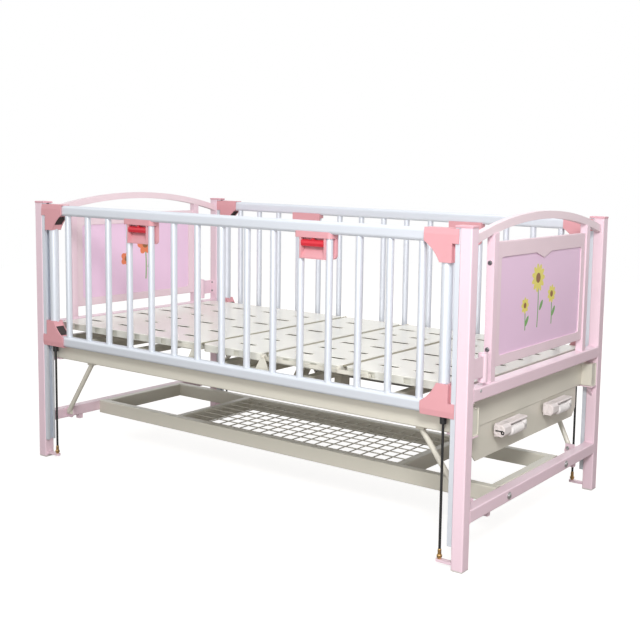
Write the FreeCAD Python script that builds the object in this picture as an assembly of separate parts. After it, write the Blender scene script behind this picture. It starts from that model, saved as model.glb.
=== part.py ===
import FreeCAD, Part
import math
import os

# A pediatric hospital cot: two end frames, a bed frame with a four-part deck that two
# cranks raise, and two side rails that slide down the corner posts on gas springs.
# Millimetres. X runs from the head to the foot, the cot stands on Z = 0, and each
# "right" piece is on the -Y side. The origin lies on the floor under the middle.
os.makedirs("parts", exist_ok=True)

# end frames
POST = 38.0
POST_WALL = 2.0
POST_CORNER = 4.0
HALF_LENGTH = 937.5  # outer face of the posts
HALF_WIDTH = 478.5
POST_INNER_X = HALF_LENGTH - POST
POST_INNER_Y = HALF_WIDTH - POST
GLIDE_TALL = 5.0
POST_TOP = 970.0
CAP_TALL = 6.0
LOW_BAR_Z = 136.0
HIGH_BAR_Z = 483.0
ARCH_X = 917.0
ARCH_WIDE = 21.0
ARCH_TALL = 24.0
ARCH_END_Z = 935.0
ARCH_TOP_Z = 994.0
UPRIGHT_X = (907.0, 932.0)
UPRIGHT_Y = (312.0, 337.0)
PANEL_X = (912.5, 926.5)
PANEL_Z = (562.0, 925.0)
INSERT_Y = 283.0
INSERT_Z = (592.0, 880.0)
GROOVE = 4.0
TONGUE_HALF = 57.5
TONGUE_DEEP = 18.0
SOCKET_Y = (368.0, 378.0)
SOCKET_TOP = 609.0
BRACE_FOOT_X = 875.0
FOOT_BRACE = (360.0, 750.0)  # Y of the lug, X of the upper end
HEAD_BRACE = (376.0, 705.0)

# side rails and their guides
RAIL_Y = -460.5
RAIL_WIDE = 32.0
RAIL_TALL = 38.0
RAIL_WALL = 2.5
RAIL_CORNER = 10.0
RAIL_LOW_Z = 440.0
RAIL_HIGH_Z = 926.0
END_TUBE_X = 852.0
END_TUBE_R = 16.5
END_TUBE_WALL = 2.0
BAR_R = 11.0
BAR_WALL = 1.5
BAR_COUNT = 15
BAR_PITCH = 110.0
CORNER_SKIN = 2.5
CORNER_SPACE = 16.8  # half width of the hollow round the tubes
CORNER_HALF = {-1: 21.0, 1: 19.7}  # outer cheek, and inner cheek that passes the bed
CORNER_X = (784.5, 876.0)
CORNER_TALL = 95.0
CORNER_TOP = RAIL_HIGH_Z + RAIL_TALL + CORNER_SKIN
BEVEL_TALL = 17.0
BEVEL_SHARE = 0.7  # part of a cheek's thickness that the sloped band takes
GUIDE_Z = (70.0, POST_TOP)
GUIDE_DEEP = 15.0
GUIDE_WALL = 2.5
LATCH_X = 385.0
LATCH_HALF = 71.0
LEVER_HALF = 42.5
LATCH_Z = (849.0, RAIL_HIGH_Z + 6)
FLANGE_Z = 913.0
LEVER_Y = RAIL_Y - 8.0
LEVER_Z = 903.0
WEDGE_Z = (934.0, 937.0)
BOLT_Z = 945.0
BOLT_R = 4.0
BOLT_TIP_X = 896.0
PIN_X = LATCH_X - 12.0

# gas springs
GAS_R = 10.0
GAS_BORE_R = 6.5
GAS_Z = (414.0, 815.0)
ROD_R = 4.0
PISTON_Z = (433.0, 445.0)

# bed frame and deck
FRAME_X = 934.0
FRAME_Y = (402.0, 440.0)
FRAME_Z = (384.0, 464.0)
CROSS_Z = (440.0, 464.0)
DECK_HALF = 412.0
DECK_TOP = 520.0
DECK_SKIN = 1.5
DECK_EDGE = 25.0
UNDER_Z = (466.0, 495.0)
UNDER_Y = 260.0
HINGE_Z = 513.0
HINGE_R = 7.0
HINGE_PIN_R = 4.0
BACK_X = -158.0
THIGH_X = 147.0
CALF_X = 447.0
SEAM_MOVING = 2.0
SEAM_FIXED = 20.0
SEAM_CALF = 18.0
DECK_CORNER = 20.0
DECK_END = 885.0
SLOT_LONG = 70.0
SLOT_WIDE = 14.0
SLOT_PITCH = 122.0
SLOT_ROWS = [SLOT_PITCH * (number - 2.5) - 11 for number in range(6)]

# lifting gear
SCREW_Z = 360.0
BACK_SCREW_Y = 133.0
KNEE_SCREW_Y = -201.0
BACK_GUIDE_X = 5.0
KNEE_GUIDE_X = 285.0
SCREW_R = 8.0
SHAFT_R = 7.0
TUBE_R = 15.0
LUG_DROP = HINGE_Z - SCREW_Z
BACK_TILT = 35.0
KNEE_TILT = 17.5
PLATE_X = 890.0
APRON_X = (888.5, 891.5)
ARM_X = (899.0, 905.0)
ARM_FRONT = 937.0
ARM_HALF = 17.5
ARM_REACH = 118.0
GRIP_PIVOT = 103.0
GRIP_X = 920.5

# base frame
BASE_Y = 205.0
BASE_Z = (125.0, 175.0)
SHELF_X = (-475.0, 533.0)
MESH_PITCH = 50.0

RUNNING = 0.06  # radial clearance of pieces that turn or slide on each other


def at(x, y, z):
    return FreeCAD.Vector(x, y, z)


def save(name, *solids):
    shape = solids[0] if len(solids) == 1 else Part.makeCompound(list(solids))
    shape.exportStep("parts/" + name + ".step")


def block(x0, x1, y0, y1, z0, z1):
    low = at(min(x0, x1), min(y0, y1), min(z0, z1))
    return Part.makeBox(abs(x1 - x0), abs(y1 - y0), abs(z1 - z0), low)


def rod(start, end, radius):
    return Part.makeCylinder(radius, (end - start).Length, start, end - start)


def pipe(start, end, outer, inner):
    return rod(start, end, outer).cut(rod(start, end, inner))


def union(first, *others):
    return first.multiFuse(list(others)).removeSplitter()


def edges_along(shape, axis):
    found = []
    for edge in shape.Edges:
        ends = [v.Point for v in edge.Vertexes]
        if len(ends) == 2 and abs((ends[1] - ends[0]).normalize().dot(axis)) > 0.999:
            found.append(edge)
    return found


def box_tube(x0, x1, y0, y1, z0, z1, wall, corner):
    """A hollow rectangular tube along its longest side, with rounded long edges."""
    sizes = [abs(x1 - x0), abs(y1 - y0), abs(z1 - z0)]
    way = sizes.index(max(sizes))
    axis = [at(1, 0, 0), at(0, 1, 0), at(0, 0, 1)][way]
    outer = block(x0, x1, y0, y1, z0, z1)
    outer = outer.makeFillet(corner, edges_along(outer, axis))
    inset = [wall, wall, wall]
    inset[way] = -1.0
    low = [min(x0, x1), min(y0, y1), min(z0, z1)]
    spans = []
    for start, size, gap in zip(low, sizes, inset):
        spans += [start + gap, start + size - gap]
    hollow = block(*spans)
    if corner > 2 * wall:
        hollow = hollow.makeFillet(corner - wall, edges_along(hollow, axis))
    return outer.cut(hollow)


def plate_xz(points, y0, y1):
    """A flat plate whose outline is given in X and Z."""
    corners = [at(x, y0, z) for x, z in points]
    face = Part.Face(Part.makePolygon(corners + corners[:1]))
    return face.extrude(at(0, y1 - y0, 0))


def plate_yz(points, x0, x1):
    """A flat plate whose outline is given in Y and Z."""
    corners = [at(x0, y, z) for y, z in points]
    face = Part.Face(Part.makePolygon(corners + corners[:1]))
    return face.extrude(at(x1 - x0, 0, 0))


def turned(shape):
    """The same piece at the opposite corner of the bed."""
    copy = shape.copy()
    copy.rotate(at(0, 0, 0), at(0, 0, 1), 180)
    return copy


def flipped_x(shape):
    return shape.mirror(at(0, 0, 0), at(1, 0, 0))


def flipped_y(shape):
    return shape.mirror(at(0, 0, 0), at(0, 1, 0))


def flipped_z(shape, middle):
    return shape.mirror(at(0, 0, middle), at(0, 0, 1))


# ---------------------------------------------------------------- end frames


def foot_post(side):
    y0, y1 = side * POST_INNER_Y, side * HALF_WIDTH
    post = box_tube(POST_INNER_X, HALF_LENGTH, y0, y1, GLIDE_TALL, POST_TOP, POST_WALL, POST_CORNER)
    seat = rod(at(POST_INNER_X - 1, side * -RAIL_Y, BOLT_Z), at(POST_INNER_X + 3, side * -RAIL_Y, BOLT_Z), BOLT_R + 1)
    return post.cut(seat)


def cross_bar(low_z):
    return box_tube(
        POST_INNER_X, HALF_LENGTH, -POST_INNER_Y, POST_INNER_Y, low_z, low_z + POST, POST_WALL, POST_CORNER
    )


def arch_height(y, offset):
    """Height of the arch's centre line, or of a line offset from it, at a given Y."""
    rise = ARCH_TOP_Z - ARCH_END_Z
    radius = (POST_INNER_Y**2 + rise**2) / (2 * rise)
    centre_z = ARCH_TOP_Z - radius
    return centre_z + math.sqrt((radius + offset) ** 2 - y**2)


def arch():
    """The rectangular tube bent from post to post over the panel."""

    def bent_bar(x0, x1, offset):
        ends = [at(x0, y, arch_height(y, offset)) for y in (-POST_INNER_Y, 0, POST_INNER_Y)]
        low = [at(x0, y, arch_height(y, -offset)) for y in (POST_INNER_Y, 0, -POST_INNER_Y)]
        top_arc = Part.Arc(*ends).toShape()
        low_arc = Part.Arc(*low).toShape()
        sides = [Part.makeLine(ends[2], low[0]), Part.makeLine(low[2], ends[0])]
        outline = Part.Wire([top_arc, sides[0], low_arc, sides[1]])
        return Part.Face(outline).extrude(at(x1 - x0, 0, 0))

    x0, x1 = ARCH_X - ARCH_WIDE / 2, ARCH_X + ARCH_WIDE / 2
    outer = bent_bar(x0, x1, ARCH_TALL / 2)
    hollow = bent_bar(x0 + POST_WALL, x1 - POST_WALL, ARCH_TALL / 2 - POST_WALL)
    return outer.cut(hollow)


def upright(side):
    """Panel upright from the upper bar to the underside of the arch."""
    inner_y, outer_y = UPRIGHT_Y
    under = -ARCH_TALL / 2
    foot_z = HIGH_BAR_Z + POST
    outline = [
        (side * inner_y, foot_z),
        (side * outer_y, foot_z),
        (side * outer_y, arch_height(outer_y, under)),
        (side * inner_y, arch_height(inner_y, under)),
    ]
    bar = plate_yz(outline, *UPRIGHT_X)
    x0, x1 = UPRIGHT_X[0] + POST_WALL, UPRIGHT_X[1] - POST_WALL
    y0, y1 = side * (inner_y + POST_WALL), side * (outer_y - POST_WALL)
    return bar.cut(block(x0, x1, y0, y1, foot_z - 1, arch_height(outer_y, under) - POST_WALL))


def bed_support(side):
    """Ledge and tapered rib on the post that carry the end of the bed frame."""
    top = FRAME_Z[0]
    ledge = block(852, HALF_LENGTH - 1.5, side * 406, side * (POST_INNER_Y - 0.5), top - 4, top)
    post_y = side * POST_INNER_Y
    rib = plate_yz([(side * 409, top - 4), (post_y, top - 4), (post_y, top - 40)], 914, 922)
    weld = block(POST_INNER_X, HALF_LENGTH - 1.5, side * 430, post_y, top - 4, top)
    return union(ledge, weld, rib)


def brace_lug(side, lug_y):
    y = side * lug_y
    x = BRACE_FOOT_X
    outline = [(x - 13, 152), (x - 8, 180), (POST_INNER_X, 180), (POST_INNER_X, 140), (x - 3, 140)]
    lug = plate_xz(outline, y - 3, y + 3)
    return lug.cut(rod(at(x, y - 5, 165), at(x, y + 5, 165), 4.3))


def gas_rod_foot(side):
    """Bar at the bottom of the post that holds the lower end of a gas spring."""
    y = side * -RAIL_Y
    bar = block(842, POST_INNER_X, y - 8, y + 8, 12, 20)
    free_end = [e for e in edges_along(bar, at(0, 0, 1)) if e.BoundBox.XMax < 843]
    return bar.makeFillet(5, free_end)


def end_frame(lug_y):
    """One end frame, drawn at the foot end."""
    solids = [cross_bar(LOW_BAR_Z), cross_bar(HIGH_BAR_Z)]
    for side in (-1, 1):
        solids += [foot_post(side), upright(side), bed_support(side), brace_lug(side, lug_y), gas_rod_foot(side)]
        tab_y = side * 307
        solids.append(block(905, 925, tab_y - 8, tab_y + 8, 118, LOW_BAR_Z))
    return solids


def panel_frame():
    """Moulded border between the uprights, with a pointed tongue and a groove for the board."""
    edge = UPRIGHT_Y[0]
    board = block(*PANEL_X, -edge, edge, *PANEL_Z)
    board = board.makeFillet(3, edges_along(board, at(0, 1, 0)))
    window = block(PANEL_X[0] - 1, PANEL_X[1] + 1, -INSERT_Y, INSERT_Y, *INSERT_Z)
    window = window.makeFillet(12, edges_along(window, at(1, 0, 0)))
    low, high = INSERT_Z
    tongue = plate_yz([(-TONGUE_HALF, high + 1), (0, high - TONGUE_DEEP), (TONGUE_HALF, high + 1)], *PANEL_X)
    reach = INSERT_Y + GROOVE
    groove = block(PANEL_X[0] + 3.8, PANEL_X[1] - 3.8, -reach, reach, low - GROOVE, high + GROOVE)
    return union(board.cut(window), tongue).cut(groove)


def panel_insert():
    """Picture board held in the border's groove."""
    side = INSERT_Y + GROOVE - 0.3
    low, high = INSERT_Z[0] - GROOVE, INSERT_Z[1] + GROOVE - 0.3
    return block(PANEL_X[0] + 4, PANEL_X[1] - 4, -side, side, low, high)


def accessory_socket():
    """Short open tube on the upper bar beside the right foot post, for a pole or a hook."""
    y0, y1 = -SOCKET_Y[1], -SOCKET_Y[0]
    return box_tube(HALF_LENGTH - 25.5, HALF_LENGTH, y0, y1, HIGH_BAR_Z + POST, SOCKET_TOP, 2, 1.5)


def screw_head(place, way, radius, tall):
    """Button head that stands on a face and points along way."""
    rim = rod(place, place + way * (tall * 0.4), radius)
    crown = Part.makeCone(radius, radius * 0.55, tall * 0.6, place + way * (tall * 0.4), way)
    return union(rim, crown)


def panel_screws():
    """Dark button heads through the uprights into the border."""
    heads = []
    for side in (-1, 1):
        for z in (617, 866):
            place = at(918, side * UPRIGHT_Y[1], z)
            heads.append(screw_head(place, at(0, side, 0), 7, 4))
    return heads


def socket_screws():
    """Screws that fix the accessory socket to the upper bar."""
    face_y = -SOCKET_Y[1]
    heads = [screw_head(at(918, face_y, z), at(0, -1, 0), 3.5, 2) for z in (528, 602)]
    heads.append(screw_head(at(HALF_LENGTH, -402, 511), at(1, 0, 0), 5, 1.5))
    return heads


def post_cap(side):
    """Cap over a post and its guide, with a lip that drops inside the post."""
    y0, y1 = side * (POST_INNER_Y - 1.5), side * (HALF_WIDTH + 1.5)
    cap = block(POST_INNER_X - GUIDE_DEEP - 1.5, HALF_LENGTH + 1.5, y0, y1, POST_TOP, POST_TOP + CAP_TALL)
    cap = cap.makeFillet(4, edges_along(cap, at(0, 0, 1)))
    cap = cap.makeChamfer(1.5, [e for e in cap.Edges if e.BoundBox.ZMin > POST_TOP + CAP_TALL - 0.01])
    gap = POST_WALL + 0.3
    inner = (POST_INNER_X + gap, HALF_LENGTH - gap, side * (POST_INNER_Y + gap), side * (HALF_WIDTH - gap))
    return union(cap, block(*inner, POST_TOP - 12, POST_TOP))


def leg_glide(side):
    """Plastic foot pressed into the bottom of a post."""
    y0, y1 = side * (POST_INNER_Y + 0.5), side * (HALF_WIDTH - 0.5)
    foot = block(POST_INNER_X + 0.5, HALF_LENGTH - 0.5, y0, y1, 0, GLIDE_TALL)
    foot = foot.makeChamfer(2, [e for e in foot.Edges if e.BoundBox.ZMax < 0.01])
    gap = POST_WALL + 0.3
    inner = (POST_INNER_X + gap, HALF_LENGTH - gap, side * (POST_INNER_Y + gap), side * (HALF_WIDTH - gap))
    return union(foot, block(*inner, GLIDE_TALL, GLIDE_TALL + 14))


def slide_guide(side):
    """Aluminium channel on the inner face of a post, with a slot towards the bed."""
    lip_x = GUIDE_DEEP - GUIDE_WALL
    profile = [(0, 16), (GUIDE_DEEP, 16), (GUIDE_DEEP, 6.5), (lip_x, 6.5), (lip_x, 13), (GUIDE_WALL, 13)]
    outline = profile + [(deep, -wide) for deep, wide in reversed(profile)]
    low, high = GUIDE_Z
    corners = [at(POST_INNER_X - deep, side * -RAIL_Y + wide, low) for deep, wide in outline]
    bar = Part.Face(Part.makePolygon(corners + corners[:1])).extrude(at(0, 0, high - low))
    y = side * -RAIL_Y
    return bar.cut(rod(at(POST_INNER_X - 4, y, BOLT_Z), at(POST_INNER_X + 1, y, BOLT_Z), BOLT_R + 1))


# ---------------------------------------------------------------- gas springs


def gas_rod(side):
    y = side * -RAIL_Y
    stem = rod(at(END_TUBE_X, y, 40), at(END_TUBE_X, y, PISTON_Z[1]), ROD_R)
    piston = rod(at(END_TUBE_X, y, PISTON_Z[0]), at(END_TUBE_X, y, PISTON_Z[1]), GAS_BORE_R - 0.1)
    return union(stem, piston)


def rod_ball_end(side):
    """Ball socket screwed on the rod and held by a stud through the foot bar."""
    y = side * -RAIL_Y
    outline = [(0, 20), (5, 20), (5, 22), (8, 25), (8, 31), (5.5, 34), (5.5, 48), (ROD_R, 50), (0, 50)]
    points = [at(r, 0, z) for r, z in outline]
    body = Part.Face(Part.makePolygon(points + points[:1])).revolve(at(0, 0, 0), at(0, 0, 1), 360)
    body.translate(at(END_TUBE_X, y, 0))
    return body.cut(rod(at(END_TUBE_X, y, 40), at(END_TUBE_X, y, 51), ROD_R))


def gas_cylinder():
    low, high = GAS_Z
    middle = at(END_TUBE_X, RAIL_Y, 0)
    shell = rod(middle + at(0, 0, low), middle + at(0, 0, high), GAS_R)
    shell = shell.makeChamfer(1.5, [shell.Edges[0], shell.Edges[2]])
    gland = rod(middle + at(0, 0, low - 1), middle + at(0, 0, low + 20), ROD_R + RUNNING)
    bore = rod(middle + at(0, 0, low + 14), middle + at(0, 0, high - 12), GAS_BORE_R)
    plug = rod(middle + at(0, 0, high), middle + at(0, 0, high + 15), END_TUBE_R - END_TUBE_WALL)
    return [shell.cut(gland).cut(bore), plug]


# ---------------------------------------------------------------- side rails (drawn on the right)


def rail_tube(low_z):
    y0, y1 = RAIL_Y - RAIL_WIDE / 2, RAIL_Y + RAIL_WIDE / 2
    return box_tube(-END_TUBE_X, END_TUBE_X, y0, y1, low_z, low_z + RAIL_TALL, RAIL_WALL, RAIL_CORNER)


def rail_outline(low_z):
    """The space that a top or bottom tube fills, as a cutter for what fits against it."""
    y0, y1 = RAIL_Y - RAIL_WIDE / 2, RAIL_Y + RAIL_WIDE / 2
    solid = block(-END_TUBE_X, END_TUBE_X, y0, y1, low_z, low_z + RAIL_TALL)
    return solid.makeFillet(RAIL_CORNER, edges_along(solid, at(1, 0, 0)))


def rail_frame():
    """Top and bottom tubes, coped round two end tubes that house the gas springs."""
    top, low = rail_tube(RAIL_HIGH_Z), rail_tube(RAIL_LOW_Z)
    ends = []
    for side in (-1, 1):
        window = block(side * (LATCH_X - 8), side * (LATCH_X + 6), RAIL_Y - 13, RAIL_Y + 13, 925, 933)
        foot = at(side * END_TUBE_X, RAIL_Y, RAIL_LOW_Z)
        head = at(side * END_TUBE_X, RAIL_Y, RAIL_HIGH_Z + RAIL_TALL)
        top = top.cut(window).cut(rod(foot, head, END_TUBE_R))
        low = low.cut(rod(foot, head, END_TUBE_R))
        tube = pipe(foot, head, END_TUBE_R, END_TUBE_R - END_TUBE_WALL)
        start = at(side * (END_TUBE_X - 25), RAIL_Y, BOLT_Z)
        ends.append(tube.cut(rod(start, at(side * (END_TUBE_X + 25), RAIL_Y, BOLT_Z), BOLT_R + 0.6)))
    return [top, low] + ends


def rail_bars():
    """Round bars, coped to the rounded faces of the top and bottom tubes."""
    tubes = rail_outline(RAIL_LOW_Z).fuse(rail_outline(RAIL_HIGH_Z))
    bars = []
    for number in range(BAR_COUNT):
        x = (number - (BAR_COUNT - 1) / 2) * BAR_PITCH
        low, high = at(x, RAIL_Y, RAIL_LOW_Z + RAIL_TALL - 5), at(x, RAIL_Y, RAIL_HIGH_Z + 5)
        bars.append(pipe(low, high, BAR_R, BAR_R - BAR_WALL).cut(tubes))
    return bars


def corner_shell():
    """Moulded corner at the top of the foot end: two cheeks round the joint of two tubes."""
    x0, x1 = CORNER_X
    high, low = CORNER_TOP, CORNER_TOP - CORNER_TALL
    y0, y1 = RAIL_Y - CORNER_HALF[-1], RAIL_Y + CORNER_HALF[1]
    start, bend, end = at(x0, y0, 929), at(820, y0, 899), at(837, y0, low)
    corners = [end, at(x1, y0, low), at(x1, y0, high), at(x0, y0, high), start]
    edges = [Part.makeLine(a, b) for a, b in zip(corners, corners[1:])]
    outline = Part.Wire(edges + [Part.Arc(start, bend, end).toShape()])
    body = Part.Face(outline).extrude(at(0, y1 - y0, 0))
    hollow_end = END_TUBE_X + END_TUBE_R + 0.5
    space_y = (RAIL_Y - CORNER_SPACE, RAIL_Y + CORNER_SPACE)
    inside = block(x0 - 5, hollow_end, *space_y, low - 5, high - CORNER_SKIN)
    tube_side = END_TUBE_X - END_TUBE_R - 0.3
    shelf = block(x0 + 14, tube_side, y0 + 1, y1 - 1, RAIL_HIGH_Z - 4, RAIL_HIGH_Z)
    rib_line = [(x0 + 15, 924), (824, 903), (tube_side - 0.7, 885), (tube_side, 885), (tube_side, 924)]
    rib = plate_xz(rib_line, RAIL_Y - 1.25, RAIL_Y + 1.25)
    return union(body.cut(inside), shelf, rib)


def slide_tongue(low, high):
    """Neck and head that run in the channel of the slide guide."""
    slot_x = POST_INNER_X - GUIDE_DEEP + GUIDE_WALL
    neck = block(CORNER_X[1] - 1, slot_x + 1, RAIL_Y - 6, RAIL_Y + 6, low, high)
    head = block(slot_x + 0.5, POST_INNER_X - 4, RAIL_Y - 12.5, RAIL_Y + 12.5, low, high)
    return union(neck, head)


def corner_bevel(way):
    """Cutter for the sloped band along the top of one cheek."""
    y = RAIL_Y + way * CORNER_HALF[way]
    deep = BEVEL_SHARE * (CORNER_HALF[way] - CORNER_SPACE)
    low, high = CORNER_TOP - BEVEL_TALL, CORNER_TOP + 1
    line = [(y, low), (y - way * deep, high), (y + way * 2, high), (y + way * 2, low)]
    return plate_yz(line, CORNER_X[0] - 1, POST_INNER_X)


def rail_corner(is_top):
    """A corner with its slide tongue and with cheeks that reach over the guide."""
    corner = union(corner_shell(), slide_tongue(875, 958))
    for way in (-1, 1):
        y0, y1 = RAIL_Y + way * CORNER_SPACE, RAIL_Y + way * CORNER_HALF[way]
        arm = block(CORNER_X[1] - 1, POST_INNER_X - 3, y0, y1, RAIL_HIGH_Z - 1, CORNER_TOP)
        corner = union(corner, arm).cut(corner_bevel(way))
    if is_top:
        bore = rod(at(860, RAIL_Y, BOLT_Z), at(898, RAIL_Y, BOLT_Z), BOLT_R + 0.6)
        return corner.cut(bore)
    middle = (RAIL_LOW_Z + RAIL_HIGH_Z + RAIL_TALL) / 2
    corner = flipped_z(corner, middle)
    gas_hole = rod(at(END_TUBE_X, RAIL_Y, 430), at(END_TUBE_X, RAIL_Y, 445), GAS_R + 0.4)
    return corner.cut(gas_hole)


def rail_corners():
    top, low = rail_corner(True), rail_corner(False)
    return [top, low, flipped_x(top), flipped_x(low)]


def latch_housing():
    """Moulding under the top tube: a flange round two bars and a finger pocket between."""
    front, back = RAIL_Y - 16.5, RAIL_Y + 20.5
    low, high = LATCH_Z
    x0, x1 = LATCH_X - LATCH_HALF, LATCH_X + LATCH_HALF
    flange = block(x0, x1, front, back, FLANGE_Z, high)
    front_corners = [e for e in edges_along(flange, at(0, 0, 1)) if e.BoundBox.YMax < front + 1]
    flange = flange.makeFillet(12, front_corners)
    cheek = block(x0, x1, RAIL_Y + 12, back, low, high)
    corners = [e for e in edges_along(cheek, at(0, 1, 0)) if e.BoundBox.ZMax < low + 1]
    cheek = cheek.makeFillet(14, corners)
    middle = block(LATCH_X - 50, LATCH_X + 50, front + 1.5, RAIL_Y + 13, low, FLANGE_Z + 1)
    scoop_line = [(-25, FLANGE_Z), (8, FLANGE_Z), (8, 886), (-13, 853), (-25, 851.5)]
    scoop_half = LEVER_HALF + 1
    scoop = plate_yz([(RAIL_Y + y, z) for y, z in scoop_line], LATCH_X - scoop_half, LATCH_X + scoop_half)
    body = union(flange, cheek, middle).cut(scoop)
    slot = block(LATCH_X - 9, LATCH_X + 7, RAIL_Y - 15, RAIL_Y + 13, FLANGE_Z - 1, high + 1)
    body = body.cut(slot).cut(rail_outline(RAIL_HIGH_Z))
    for x in (LATCH_X - BAR_PITCH / 2, LATCH_X + BAR_PITCH / 2):
        body = body.cut(rod(at(x, RAIL_Y, low - 1), at(x, RAIL_Y, high + 1), BAR_R + 0.4))
    reach = scoop_half + 1.5
    pin = rod(at(LATCH_X - reach, LEVER_Y, LEVER_Z), at(LATCH_X + reach, LEVER_Y, LEVER_Z), 2.5)
    return union(body, pin)


def bolt_bush(x):
    """Block inside the top tube that carries the latch bolt."""
    half = RAIL_WIDE / 2 - RAIL_WALL
    low, high = RAIL_HIGH_Z + RAIL_WALL, RAIL_HIGH_Z + RAIL_TALL - RAIL_WALL
    bush = block(x, x + 12, RAIL_Y - half, RAIL_Y + half, low, high)
    bush = bush.makeFillet(RAIL_CORNER - RAIL_WALL, edges_along(bush, at(1, 0, 0)))
    return bush.cut(rod(at(x - 1, RAIL_Y, BOLT_Z), at(x + 13, RAIL_Y, BOLT_Z), BOLT_R + RUNNING))


def latch_lever():
    """Red finger lever with a wedge above its pin that draws the bolt back."""
    outline = [(-16.5, 903), (-9, 907), (-3, 905), (-1.5, 899), (-5, 892), (-11, 886), (-15, 888), (-17.5, 896)]
    grip = plate_yz([(RAIL_Y + y, z) for y, z in outline], LATCH_X - LEVER_HALF, LATCH_X + LEVER_HALF)
    grip = grip.makeFillet(1.2, edges_along(grip, at(1, 0, 0)))
    neck = block(LATCH_X - 6, LATCH_X + 4, RAIL_Y - 11, RAIL_Y - 5, 903, WEDGE_Z[1] - 1)
    wedge_line = [(-21.3, -13), (-7.3, 1), (4, 1), (4, -13)]
    corners = [at(LATCH_X + x, RAIL_Y + y, WEDGE_Z[0]) for x, y in wedge_line]
    wedge = Part.Face(Part.makePolygon(corners + corners[:1])).extrude(at(0, 0, WEDGE_Z[1] - WEDGE_Z[0]))
    hole_start = at(LATCH_X - LEVER_HALF - 1, LEVER_Y, LEVER_Z)
    pin_hole = rod(hole_start, at(LATCH_X + LEVER_HALF + 1, LEVER_Y, LEVER_Z), 2.5 + RUNNING)
    return union(grip, neck, wedge).cut(pin_hole)


def latch_bolt():
    """Long bolt in the top tube with a drop pin for the lever's wedge."""
    shaft = rod(at(PIN_X - 8, RAIL_Y, BOLT_Z), at(BOLT_TIP_X, RAIL_Y, BOLT_Z), BOLT_R)
    shaft = shaft.makeChamfer(1.5, [e for e in shaft.Edges if e.BoundBox.XMin > BOLT_TIP_X - 0.1])
    pin = rod(at(PIN_X, RAIL_Y, 929.5), at(PIN_X, RAIL_Y, BOLT_Z), 2)
    return union(shaft, pin)


# ---------------------------------------------------------------- bed frame


def bed_side_rail(side):
    bar = box_tube(-FRAME_X, FRAME_X, side * FRAME_Y[0], side * FRAME_Y[1], *FRAME_Z, 2.5, 5)
    plugs = []
    for end in (-1, 1):
        x0, x1 = end * (FRAME_X - 2), end * (FRAME_X - 14)
        y0, y1 = side * (FRAME_Y[0] + 2.5), side * (FRAME_Y[1] - 2.5)
        plugs.append(block(x0, x1, y0, y1, FRAME_Z[0] + 2.5, FRAME_Z[1] - 2.5))
    return union(bar, *plugs)


def bed_head_rail():
    return box_tube(-893, -855, -FRAME_Y[0], FRAME_Y[0], *FRAME_Z, 2.5, 5)


def cross_member(x):
    return box_tube(x, x + 30, -FRAME_Y[0], FRAME_Y[0], *CROSS_Z, 2, 3)


def bed_cross_members():
    solids = [cross_member(x) for x in (-760, -480, -88, BACK_GUIDE_X, 62, KNEE_GUIDE_X, 640)]
    for y in (-UNDER_Y, UNDER_Y):
        solids.append(box_tube(-140, 130, y - 15, y + 15, CROSS_Z[1], DECK_TOP - DECK_EDGE, 2, 3))
    return solids


def rest_buffers():
    """Rubber pads that the lifting sections lie on when the deck is flat."""
    pads = []
    for x in (-874, -465, 300, 655):
        for y in (-UNDER_Y, UNDER_Y):
            pad = block(x - 11, x + 11, y - 12, y + 12, CROSS_Z[1], UNDER_Z[0])
            pads.append(pad.makeFillet(4, edges_along(pad, at(0, 0, 1))))
    return pads


def crank_plate():
    """Folded plate across the foot of the bed frame, with a set-back apron for the cranks."""
    half, fold_z = FRAME_Y[0], 386
    web = block(PLATE_X, PLATE_X + 5, -half, half, fold_z, FRAME_Z[1])
    apron_line = [(-367, fold_z + 20), (-367, 312), (-340, 285), (340, 285), (367, 312), (367, fold_z + 20)]
    apron = plate_yz(apron_line, *APRON_X)
    flange = block(PLATE_X - 40, PLATE_X + 1, -half, half, FRAME_Z[1] - 3, FRAME_Z[1])
    body = union(web, apron, flange)
    outer = [e for e in edges_along(body, at(0, 1, 0)) if e.BoundBox.XMin > PLATE_X + 4.9]
    body = body.makeFillet(2.9, outer)
    for y in (BACK_SCREW_Y, KNEE_SCREW_Y):
        body = body.cut(rod(at(PLATE_X - 3, y, SCREW_Z), at(PLATE_X + 6, y, SCREW_Z), SHAFT_R + 1))
    return body


def screw_bearings():
    """Bearings behind the plate for both cranks, and guides for both push tubes."""
    solids = []
    for y, guide_x in ((BACK_SCREW_Y, BACK_GUIDE_X), (KNEE_SCREW_Y, KNEE_GUIDE_X)):
        bearing = block(APRON_X[0] - 30, APRON_X[0], y - 22, y + 22, SCREW_Z - 22, SCREW_Z + 22)
        bearing = bearing.makeFillet(8, edges_along(bearing, at(1, 0, 0)))
        solids.append(bearing.cut(rod(at(850, y, SCREW_Z), at(900, y, SCREW_Z), SHAFT_R + RUNNING)))
        guide = block(guide_x, guide_x + 30, y - 22, y + 22, SCREW_Z - 22, CROSS_Z[0])
        low = [e for e in edges_along(guide, at(1, 0, 0)) if e.BoundBox.ZMax < SCREW_Z]
        guide = guide.makeFillet(10, low)
        bore = rod(at(guide_x - 1, y, SCREW_Z), at(guide_x + 31, y, SCREW_Z), TUBE_R + RUNNING)
        solids.append(guide.cut(bore))
    return solids


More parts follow.
